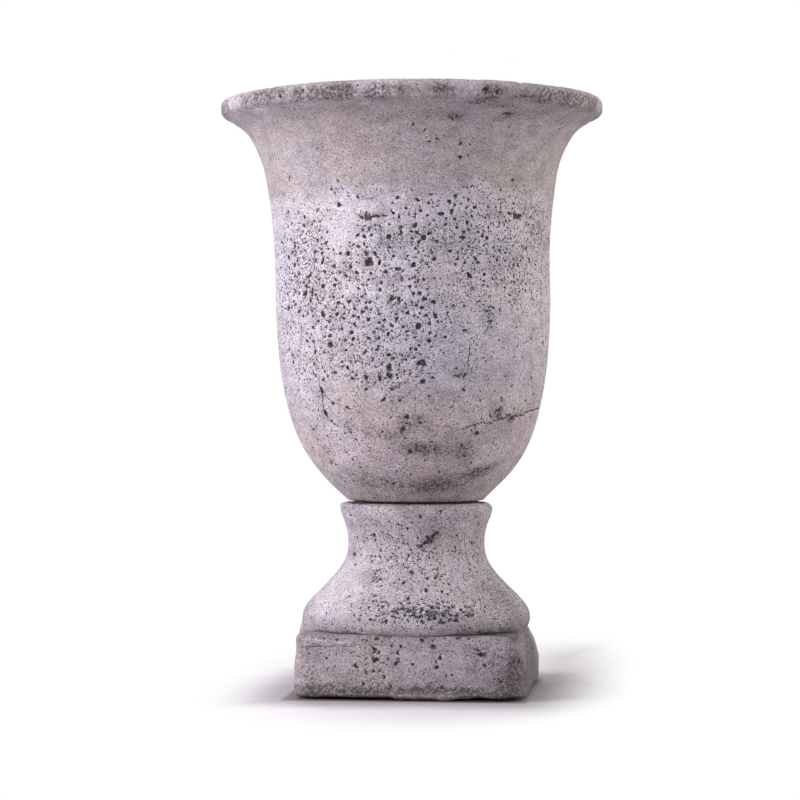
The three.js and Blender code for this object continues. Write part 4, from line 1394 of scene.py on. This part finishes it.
def crumb(centre, size, random):
    """The points and faces of one angular crumb."""
    points, faces = [], []
    spin = random.uniform(0, TURN)
    for row in range(CRUMB_ROWS):
        tilt = math.pi * (row + 0.5) / CRUMB_ROWS
        for i in range(CRUMB_COUNT):
            turn = spin + TURN * (i + 0.5 * (row % 2)) / CRUMB_COUNT
            reach = size * random.uniform(0.72, 1.12)
            wide, deep = math.sin(tilt) * math.cos(turn) * CRUMB_WIDE, math.sin(tilt) * math.sin(turn)
            points.append(centre + reach * np.array([wide, deep, CRUMB_TALL * math.cos(tilt)]))
    top, bottom = len(points), len(points) + 1
    for way in (1, -1):
        points.append(centre + way * np.array([0, 0, 0.5 * size]))
    last = (CRUMB_ROWS - 1) * CRUMB_COUNT
    for i in range(CRUMB_COUNT):
        j = (i + 1) % CRUMB_COUNT
        for low in range(0, last, CRUMB_COUNT):
            high = low + CRUMB_COUNT
            faces += [(low + j, low + i, high + i), (low + j, high + i, high + j)]
        faces += [(top, i, j), (bottom, last + j, last + i)]
    return points, faces


def crumbs(name, spots, seed):
    """Mortar crumbs that lie on the seat's edge, from (angle in degrees, radius, size mm)."""
    random = np.random.default_rng(seed)
    points, faces = [], []
    for turn, radius, size in spots:
        angle = math.radians(turn)
        centre = np.array([radius * math.cos(angle), radius * math.sin(angle), SEAT_HEIGHT + 0.18 * size])
        new_points, new_faces = crumb(centre, size, random)
        faces += [tuple(len(points) + corner for corner in face) for face in new_faces]
        points += new_points
    return linked(name, meshed(name, points, faces))


tube_profile = (
    *thick_line((DRAIN_RADIUS + 0.4, SOCKET_FLOOR), (TUBE_RADIUS - 0.4, SOCKET_FLOOR), 2),
    *thick_line((TUBE_RADIUS, SOCKET_FLOOR + 0.4), (TUBE_RADIUS, TUBE_TOP - 0.7), 34),
    *thick_line((TUBE_RADIUS, TUBE_TOP - 0.7), (TUBE_RADIUS - 0.5, TUBE_TOP - 0.05), 3),
    *thick_line((TUBE_RADIUS - 0.5, TUBE_TOP), (DRAIN_RADIUS + 0.35, TUBE_TOP), 3),
    *thick_line((DRAIN_RADIUS + 0.05, TUBE_TOP - 0.4), (DRAIN_RADIUS + 0.05, SOCKET_FLOOR + 0.4), 34),
)
ring_foot, ring_top = SEAT_HEIGHT - RING_SINK, BOWL_FOOT - RING_GAP
ring_profile = (
    *thick_line((RING_INNER + 1.2, ring_foot), (RING_OUTER, ring_foot), 14),
    *thick_line((RING_OUTER + 0.8, SEAT_HEIGHT), (RING_OUTER, BOWL_FOOT - 0.25), 4),
    *thick_line((RING_OUTER - 0.6, ring_top), (RING_INNER + 0.6, ring_top), 16),
    *thick_line((RING_INNER, BOWL_FOOT - 0.3), (RING_INNER, SEAT_HEIGHT), 4),
)
front_turn = math.degrees(math.atan2(out_front[1], out_front[0]))
crumb_spots = [
    *((front_turn - 62 + 2.4 * i, 46.6 + 1.1 * (i % 3), 0.7 + 0.35 * (i * 7 % 4)) for i in range(9)),
    *((front_turn - 12 + 3 * i, 48.2 + 0.5 * i, 0.6 + 0.2 * i) for i in range(3)),
    *((front_turn + 66 + 2.2 * i, 47 + 0.8 * (i % 2), 0.6 + 0.15 * (i % 3)) for i in range(4)),
    *((60 + 29 * i + 9 * math.sin(5 * i), 46.4 + 0.6 * (i % 4), 0.5 + 0.2 * (i % 3)) for i in range(7)),
]

tube_piece = turned("drain_pipe", tube_profile, TUBE_COUNT, tube_uneven)
ring_piece = turned("mortar_bed", ring_profile, RING_COUNT, ring_uneven)
crumb_piece = crumbs("mortar_crumbs", crumb_spots, 15)


# Materials

# Height in metres where the lip begins and where its clean top edge does
LIP_FROM, LIP_TOP_FROM = (0.3862, 0.3885), (0.3955, 0.3985)
BUMP_DEPTH = 0.00042


class Shader:
    """A node material and short ways to add to it."""

    def __init__(self, name):
        self.material = bpy.data.materials.new(name)
        self.material.use_nodes = True
        self.tree = self.material.node_tree
        self.surface = next(n for n in self.tree.nodes if n.type == "BSDF_PRINCIPLED")
        self.place = self.node("TexCoord").outputs["Object"]

    def node(self, kind, inputs=None, **settings):
        """A new node with these inputs fed and these settings made."""
        made = self.tree.nodes.new("ShaderNode" + kind)
        for key, value in settings.items():
            setattr(made, key, value)
        for key, value in (inputs or {}).items():
            self.feed(made.inputs[key], value)
        return made

    def feed(self, socket, value):
        """Links a socket to the value, or sets it."""
        if isinstance(value, bpy.types.NodeSocket):
            self.tree.links.new(value, socket)
        else:
            socket.default_value = value

    def stretched(self, scale):
        """Places scaled along each axis."""
        return self.node("Mapping", {"Vector": self.place, "Scale": scale}).outputs["Vector"]

    def noise(self, wavelength, detail=2.0, roughness=0.5, where=None):
        """Noise about 0.5, with features of this wavelength in mm."""
        inputs = {"Vector": where or self.place, "Scale": 1000 / wavelength, "Detail": detail}
        return self.node("TexNoise", {**inputs, "Roughness": roughness}).outputs["Fac"]

    def math(self, operation, a, b=0.0, clamp=False):
        return self.node("Math", {0: a, 1: b}, operation=operation, use_clamp=clamp).outputs[0]

    def times(self, a, b, clamp=False):
        return self.math("MULTIPLY", a, b, clamp)

    def plus(self, a, b, clamp=False):
        return self.math("ADD", a, b, clamp)

    def minus(self, a, b, clamp=False):
        return self.math("SUBTRACT", a, b, clamp)

    def larger(self, a, b):
        return self.math("MAXIMUM", a, b)

    def swing(self, size, *noise):
        """Noise about 0, of this size from end to end."""
        return self.times(self.minus(self.noise(*noise), 0.5), size)

    def span(self, value, low, high, first=0.0, last=1.0):
        """value taken from the range low to high onto first to last, held at the ends."""
        inputs = {"Value": value, "From Min": low, "From Max": high, "To Min": first, "To Max": last}
        return self.node("MapRange", inputs, interpolation_type="SMOOTHSTEP").outputs["Result"]

    def mix(self, factor, a, b, blend="MIX"):
        """Colour a where the factor is 0, and b where it is 1."""
        made = self.node("Mix", data_type="RGBA", blend_type=blend, clamp_factor=True)
        for index, value in ((0, factor), (6, a), (7, b)):
            self.feed(made.inputs[index], value)
        return made.outputs[2]

    def tinted(self, colour, tint):
        """The colour multiplied by a tint."""
        return self.mix(1.0, colour, tint, "MULTIPLY")

    def over(self, colour, coat, cover, share):
        """The colour with this share of a coat over it, where cover is 1."""
        return self.mix(self.times(cover, share), colour, coat)

    def painted(self, name):
        """A value that the mesh carries at each point."""
        return self.node("Attribute", attribute_name=name).outputs["Fac"]

    def spots(self, cell, smallest, largest, where, share):
        """Round specks, one at most in each cell of this size in mm, in this share of the cells."""
        made = self.node("TexVoronoi", {"Vector": where, "Scale": 1000 / cell, "Randomness": 1.0})
        draw = self.node("SeparateColor", {"Color": made.outputs["Color"]})
        size = self.times(self.math("POWER", draw.outputs["Red"], 1.5), largest - smallest)
        reach = self.minus(self.plus(size, smallest), made.outputs["Distance"])
        shown = self.math("LESS_THAN", draw.outputs["Green"], share)
        return self.times(self.times(reach, 14.0, clamp=True), shown)

    def finish(self, colour, roughness, height, strength, distance):
        """Feeds the surface, with a bump of this strength and this depth in metres."""
        bump = self.node("Bump", {"Strength": strength, "Distance": distance, "Height": height})
        inputs = {"Base Color": colour, "Roughness": roughness, "Normal": bump.outputs["Normal"]}
        for name, value in inputs.items():
            self.feed(self.surface.inputs[name], value)
        return self.material


def banded(shader, height, bands):
    """The cement's colour and its share of fine pores at each height, with ragged borders."""
    drift, ragged = shader.swing(0.036, 34, 3, 0.62), shader.swing(0.013, 4, 4, 0.7)
    level = shader.plus(height, shader.plus(drift, ragged))
    made = shader.node("ValToRGB", {"Fac": shader.times(level, 1 / (BOWL_TOP * MM))})
    stops = made.color_ramp.elements
    stops.remove(stops[1])
    for index, (at, colour, fine) in enumerate(bands):
        stop = stops[0] if index == 0 else stops.new(at / BOWL_TOP)
        stop.position = at / BOWL_TOP
        stop.color = (*srgb(*colour)[:3], fine)
    return made.outputs["Color"], made.outputs["Alpha"]


def weathered(shader, colour, inside):
    """The colour varied broadly, in drip streaks and in small patches."""
    # Darker on the faces inside the castings and on the seat under the bowl
    colour = shader.over(colour, srgb(148, 138, 140), inside, 0.85)
    broad = shader.span(shader.noise(70, 3, 0.6), 0.32, 0.68)
    colour = shader.mix(broad, shader.tinted(colour, WARM), shader.tinted(colour, LILAC))
    streaks = shader.span(shader.noise(26, 4, 0.6, shader.stretched((1, 1, 4.5))), 0.35, 0.7)
    colour = shader.over(colour, shader.tinted(colour, srgb(212, 210, 210)), streaks, 0.34)
    patches = shader.span(shader.noise(11, 4, 0.65), 0.42, 0.64)
    return shader.over(colour, shader.tinted(colour, srgb(206, 204, 206)), patches, 0.5)


def marked(shader, colour, height, inside):
    """The painted pale places and stains, with the painted shade and the painted highlight among them, and
    the grime on the lip.
    """
    # Pale places, with a painted highlight on the pedestal's flare
    pale = shader.times(shader.painted("pale"), shader.span(shader.noise(7, 4, 0.6), 0.3, 0.6), clamp=True)
    colour = shader.over(colour, srgb(212, 205, 213), pale, 0.75)
    # Stains, with painted shade in the crease, in the cracks, in the seat gap and on the plinth's right face
    smudge = shader.span(shader.noise(2.0, 4, 0.75), 0.38, 0.6)
    stain = shader.times(shader.painted("stain"), shader.plus(shader.times(smudge, 0.9), 0.22))
    caked_stain_and_shade = shader.span(shader.painted("stain"), 0.8, 1.0, 0.0, 0.18)
    colour = shader.over(colour, srgb(78, 71, 70), shader.plus(stain, caked_stain_and_shade, clamp=True), 0.9)
    lip = shader.span(height, *LIP_FROM)
    grimy = shader.span(shader.noise(22, 2, 0.55, shader.stretched((1, 1, 0.6))), 0.40, 0.55)
    speckle = shader.span(shader.noise(1.8, 3, 0.65), 0.45, 0.55)
    below_top = shader.times(shader.minus(1.0, inside), shader.span(height, *LIP_TOP_FROM, 1.0, 0.25))
    grime_and_contact_shadow = shader.times(shader.times(shader.times(lip, grimy), speckle), below_top)
    return shader.over(colour, srgb(80, 73, 75), grime_and_contact_shadow, 0.9)


def specked(shader, crowd):
    """Fine pores: round specks of two sizes and torn ones, from 0 to 1."""
    wobble = shader.node("TexNoise", {"Vector": shader.place, "Scale": 1000.0, "Detail": 1.0})
    wobble = shader.node("VectorMath", {0: wobble.outputs["Color"], "Scale": 0.0008}, operation="SCALE")
    wobble = wobble.outputs["Vector"]
    where = shader.node("VectorMath", {0: shader.place, 1: wobble}, operation="ADD").outputs["Vector"]
    coarse = shader.spots(1.75, 0.14, 0.42, where, shader.times(crowd, 0.8))
    small = shader.spots(1.2, 0.26, 0.5, where, shader.plus(shader.times(crowd, 0.9), 0.08))
    limit = shader.minus(0.69, shader.times(crowd, 0.075))
    ragged = shader.minus(shader.noise(1.7, 3, 0.65, where), limit)
    return shader.larger(shader.larger(coarse, small), shader.times(ragged, 22.0, clamp=True))


def hollowed(shader, colour):
    """The dark of the meshed pores and cracks, partly dirt and partly painted shade in the hollows, shallow
    and paler in places.
    """
    edge = shader.swing(0.9, 1.1, 2, 0.6)
    hollow = shader.span(shader.plus(shader.painted("hollow"), edge), 0.28, 0.6)
    deep = shader.mix(shader.span(shader.noise(9, 2), 0.35, 0.65), srgb(56, 47, 53), srgb(63, 55, 52))
    unstained_and_unshaded = shader.minus(1.0, shader.painted("stain"), clamp=True)
    shallow = shader.times(shader.span(shader.noise(4, 2), 0.49, 0.69), unstained_and_unshaded)
    return shader.over(colour, shader.mix(shallow, deep, srgb(104, 95, 99)), hollow, 0.95)


def cement(name, bands):
    """Raw cement. bands are (height mm, colour, how many fine pores), from the bottom up."""
    shader = Shader(name)
    height = shader.node("SeparateXYZ", {"Vector": shader.place}).outputs["Z"]
    inside = shader.painted("inside")
    colour, fine = banded(shader, height, bands)
    colour = marked(shader, weathered(shader, colour, inside), height, inside)
    grain = shader.noise(0.9, 2, 0.6)
    dark, light = shader.tinted(colour, srgb(206, 204, 206)), shader.tinted(colour, (1.2, 1.2, 1.2, 1))
    colour = shader.mix(shader.span(grain, 0.34, 0.66), dark, light)
    crowd = shader.times(fine, shader.span(shader.noise(9, 3, 0.6), 0.34, 0.6, 0.45, 1.0))
    crowd = shader.times(crowd, shader.painted("crowd"))
    pepper = shader.span(shader.noise(1.0, 2, 0.6), 0.60, 0.70)
    strength = shader.plus(shader.times(crowd, 0.5), 0.4)
    colour = shader.mix(shader.times(pepper, strength), colour, srgb(98, 91, 95))
    specks = specked(shader, crowd)
    # The fine pores' specks, darkened partly as dirt and partly as painted shade in the pits
    pore_dirt_and_shade = shader.mix(shader.span(shader.noise(14, 2), 0.35, 0.65), srgb(72, 64, 69), srgb(80, 72, 69))
    colour = hollowed(shader, shader.over(colour, pore_dirt_and_shade, specks, 0.88))
    bumps = shader.minus(shader.times(grain, 0.5), specks)
    bumps = shader.minus(bumps, shader.times(pepper, 0.4))
    bumps = shader.plus(bumps, shader.times(shader.noise(4.5, 3, 0.6), 0.7))
    shader.surface.inputs["Specular IOR Level"].default_value = 0.3
    return shader.finish(colour, shader.span(grain, 0.3, 0.7, 0.86, 0.97), bumps, 0.75, BUMP_DEPTH)


def mortar_and_joint_shade_material():
    """Dark lumpy mortar with grains of sand; the dark is partly painted shade for the joint under the bowl.
    """
    shader = Shader("mortar")
    lumps = shader.noise(3.0, 4, 0.65)
    colour = shader.mix(shader.span(lumps, 0.35, 0.65), srgb(46, 38, 34), srgb(92, 80, 72))
    sand = shader.span(shader.noise(0.7, 2, 0.6), 0.55, 0.7)
    colour = shader.over(colour, srgb(150, 138, 128), sand, 0.35)
    bumps = shader.plus(lumps, shader.times(shader.noise(0.9, 3, 0.6), 0.5))
    return shader.finish(colour, shader.span(lumps, 0.3, 0.7, 0.88, 0.98), bumps, 0.9, 0.0006)


def steel_material():
    """Dull zinc with its flakes, white bloom in places and lime deposits."""
    shader = Shader("galvanised_steel")
    flake = shader.node("TexVoronoi", {"Vector": shader.place, "Scale": 1000 / 5.5, "Randomness": 1.0})
    tone = shader.node("SeparateColor", {"Color": flake.outputs["Color"]}).outputs["Green"]
    colour = shader.mix(tone, srgb(128, 130, 132), srgb(158, 160, 161))
    lime = shader.span(shader.noise(9, 4, 0.65), 0.52, 0.66)
    colour = shader.over(colour, srgb(176, 170, 164), lime, 0.8)
    rust = shader.span(shader.noise(4, 4, 0.7), 0.62, 0.72)
    colour = shader.over(colour, srgb(112, 78, 56), rust, 0.7)
    cover = shader.larger(lime, rust)
    scratches = shader.noise(1.4, 3, 0.6, shader.stretched((1, 1, 0.06)))
    shader.feed(shader.surface.inputs["Metallic"], shader.minus(1.0, cover, clamp=True))
    rough = shader.plus(shader.span(tone, 0, 1, 0.38, 0.52), shader.times(cover, 0.35), clamp=True)
    return shader.finish(colour, rough, shader.plus(scratches, cover), 0.5, 0.0002)


# Colours and shares of fine pores by height, in the form that cement takes
BOWL_BANDS = (
    (128.5, (172, 163, 162), 0.8),
    (134, (191, 182, 181), 0.75),
    (148, (192, 182, 184), 0.55),
    (172, (192, 182, 185), 0.45),
    (194, (192, 183, 187), 0.55),
    (206, (195, 190, 198), 0.9),
    (262, (209, 204, 213), 1.0),
    (325, (204, 199, 208), 1.0),
    (330, (197, 191, 199), 0.6),
    (334, (181, 173, 176), 0.1),
    (372, (177, 169, 171), 0.06),
    (384, (171, 163, 165), 0.12),
    (388, (176, 168, 170), 0.3),
    (396, (192, 185, 187), 0.25),
    (400, (204, 198, 202), 0.2),
)

PEDESTAL_BANDS = (
    (0, (180, 168, 168), 0.5),
    (5, (178, 167, 169), 0.5),
    (12, (170, 162, 167), 0.5),
    (30, (171, 164, 169), 0.55),
    (42, (162, 154, 159), 0.7),
    (50, (180, 173, 179), 0.9),
    (62, (197, 191, 198), 1.0),
    (84, (194, 188, 196), 1.0),
    (104, (185, 178, 185), 0.9),
    (127, (186, 179, 185), 0.8),
)

LILAC = srgb(252, 250, 255)
WARM = srgb(250, 246, 241)
WHITE = (1, 1, 1, 1)

mortar = mortar_and_joint_shade_material()
for piece, material, slot, body in (
    (bowl_piece, cement("bowl_cement", BOWL_BANDS), "bowl_cement", "bowl"),
    (pedestal_piece, cement("pedestal_cement", PEDESTAL_BANDS), "pedestal_cement", "base"),
    (ring_piece, mortar, "mortar", "base"),
    (crumb_piece, mortar, "mortar", "base"),
    (tube_piece, steel_material(), "tube_steel", "base"),
):
    piece.data.materials.append(material)
    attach(piece, body)
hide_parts("bowl")
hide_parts("pedestal")
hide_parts("bedding_ring")
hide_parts("drain_tube")


# Floor, light and camera

# All of these in metres
FLOOR_REACH = 4.0
FADE_NEAR, FADE_FAR = (0.142, 0.25), (0.2, 0.42)
# Widths of the painted shade round the plinth and of the painted contact shadow at its foot, and where the
# painted shade to the right of the vase begins
PLINTH_SHADE_WIDTH, CONTACT_SHADOW_WIDTH, SHADE_FROM = (0.004, 0.06), (0.001, 0.006), (0.05, 0.1)
LAMPS_AIM = (0, 0, 0.2)
CLIP_START, CLIP_END = 0.05, 20


def shown_rays(nodes, links):
    """1 for rays from the camera, from glossy faces and through clear ones."""
    path = nodes.new("ShaderNodeLightPath")
    total = path.outputs["Is Camera Ray"]
    for name in ("Is Glossy Ray", "Is Transmission Ray"):
        larger = nodes.new("ShaderNodeMath")
        larger.operation = "MAXIMUM"
        links.new(total, larger.inputs[0])
        links.new(path.outputs[name], larger.inputs[1])
        total = larger.outputs[0]
    return total


def distance_from_vase(shader, wide, deep, deep_size):
    """How far out the floor lies, counted so that the soft shade reaches less far behind and beside."""
    behind = shader.minus(shader.times(deep_size, 0.665), shader.times(deep, 0.335))
    flat = shader.node("CombineXYZ", {"X": shader.times(wide, 1.68), "Y": behind}).outputs["Vector"]
    return shader.node("VectorMath", {0: flat}, operation="LENGTH").outputs["Value"]


def floor_material():
    """A pale, slightly mottled floor with painted shade round the plinth, a painted contact shadow at its
    foot and painted shade to the right, that turns plain white further out.
    """
    shader = Shader("pale_floor")
    axes = shader.node("SeparateXYZ", {"Vector": shader.place})
    wide, deep = axes.outputs["X"], axes.outputs["Y"]
    deep_size, wide_size = shader.math("ABSOLUTE", deep), shader.math("ABSOLUTE", wide)
    uneven = shader.swing(0.02, 60, 3)
    near = distance_from_vase(shader, wide, deep, deep_size)
    far = shader.node("VectorMath", {0: shader.place}, operation="LENGTH").outputs["Value"]
    fade = shader.larger(
        shader.span(shader.plus(near, uneven), *FADE_NEAR), shader.span(shader.plus(far, uneven), *FADE_FAR)
    )
    beside = shader.minus(shader.larger(deep_size, wide_size), PLINTH_HALF * MM)
    colour = shader.mix(shader.noise(9, 3, 0.6), srgb(217, 211, 218), srgb(225, 220, 227))
    # Painted shade on the floor round the plinth
    plinth_shade = shader.span(shader.plus(beside, uneven), *PLINTH_SHADE_WIDTH, 0.95, 0.0)
    colour = shader.mix(plinth_shade, colour, srgb(164, 156, 163))
    # A painted contact shadow on the floor at the plinth's foot
    grime_and_contact_shadow = shader.span(shader.plus(beside, shader.times(uneven, 0.2)), *CONTACT_SHADOW_WIDTH, 0.7, 0.0)
    colour = shader.mix(grime_and_contact_shadow, colour, srgb(70, 63, 67))
    # Painted shade on the floor to the right of the vase
    colour = shader.mix(shader.span(wide, *SHADE_FROM, 0.0, 0.58), colour, srgb(150, 143, 147))
    shader.feed(shader.surface.inputs["Base Color"], colour)
    shader.feed(shader.surface.inputs["Roughness"], shader.span(shader.noise(4, 2), 0.3, 0.7, 0.8, 0.95))
    glow = shader.node("Emission", {"Color": WHITE, "Strength": 1.0}).outputs[0]
    factor = shader.times(fade, shown_rays(shader.tree.nodes, shader.tree.links))
    both = shader.node("MixShader", {0: factor, 1: shader.surface.outputs[0], 2: glow})
    output = next(n for n in shader.tree.nodes if n.type == "OUTPUT_MATERIAL")
    shader.tree.links.new(both.outputs[0], output.inputs["Surface"])
    return shader.material


def make_floor():
    """One square that the vase stands on."""
    reach = FLOOR_REACH / MM
    corners = [(-reach, -reach, 0), (reach, -reach, 0), (reach, reach, 0), (-reach, reach, 0)]
    made = linked("floor", meshed("floor", corners, [(0, 1, 2, 3)]))
    made.data.materials.append(floor_material())


def make_world():
    """Soft light from all round, in front of a white backdrop."""
    world = bpy.data.worlds.new("soft_room")
    bpy.context.scene.world = world
    world.use_nodes = True
    nodes, links = world.node_tree.nodes, world.node_tree.links
    nodes.clear()
    both = nodes.new("ShaderNodeMixShader")
    links.new(shown_rays(nodes, links), both.inputs[0])
    for socket, colour, strength in ((1, (0.97, 0.96, 1.0, 1), 0.38), (2, WHITE, 1.0)):
        light = nodes.new("ShaderNodeBackground")
        light.inputs["Color"].default_value = colour
        light.inputs["Strength"].default_value = strength
        links.new(light.outputs[0], both.inputs[socket])
    links.new(both.outputs[0], nodes.new("ShaderNodeOutputWorld").inputs["Surface"])


def softbox(name, side, elevation, distance, wide, tall, power, colour):
    """A lamp aimed at the vase's middle, this many degrees to the right of the camera and up."""
    turn, rise = VIEW_AZIMUTH + math.radians(side), math.radians(elevation)
    back = Vector((math.sin(turn) * math.cos(rise), -math.cos(turn) * math.cos(rise), math.sin(rise)))
    lamp = bpy.data.lights.new(name, "AREA")
    lamp.shape = "RECTANGLE"
    lamp.size, lamp.size_y = wide, tall
    lamp.energy = power
    lamp.color = colour
    made = linked(name, lamp)
    made.location = Vector(LAMPS_AIM) + back * distance
    made.rotation_mode = "QUATERNION"
    made.rotation_quaternion = (-back).to_track_quat("-Z", "Y")


def make_camera():
    """The photograph's camera."""
    lens = bpy.data.cameras.new("view")
    lens.sensor_width = SENSOR_WIDTH
    lens.lens = SENSOR_WIDTH * FOCAL_PIXELS / PICTURE_SIDE
    lens.clip_start, lens.clip_end = CLIP_START, CLIP_END
    camera = linked("view", lens)
    camera.location = Vector(eye * MM)
    camera.rotation_mode = "QUATERNION"
    camera.rotation_quaternion = Vector(look).to_track_quat("-Z", "Y")
    bpy.context.scene.camera = camera


make_floor()
make_world()
softbox("key", -72, 24, 1.9, 0.9, 1.3, 38, (0.985, 0.98, 1.0))
softbox("front_fill", 6, 22, 2.4, 1.6, 1.4, 17, (1.0, 0.99, 1.0))
softbox("right_edge", 98, 14, 2.0, 0.8, 1.4, 23, (1.0, 0.97, 0.84))
softbox("back", 195, 30, 2.4, 1.4, 1.4, 18, (1.0, 0.99, 0.98))
make_camera()
bpy.context.scene.view_settings.view_transform = "Standard"
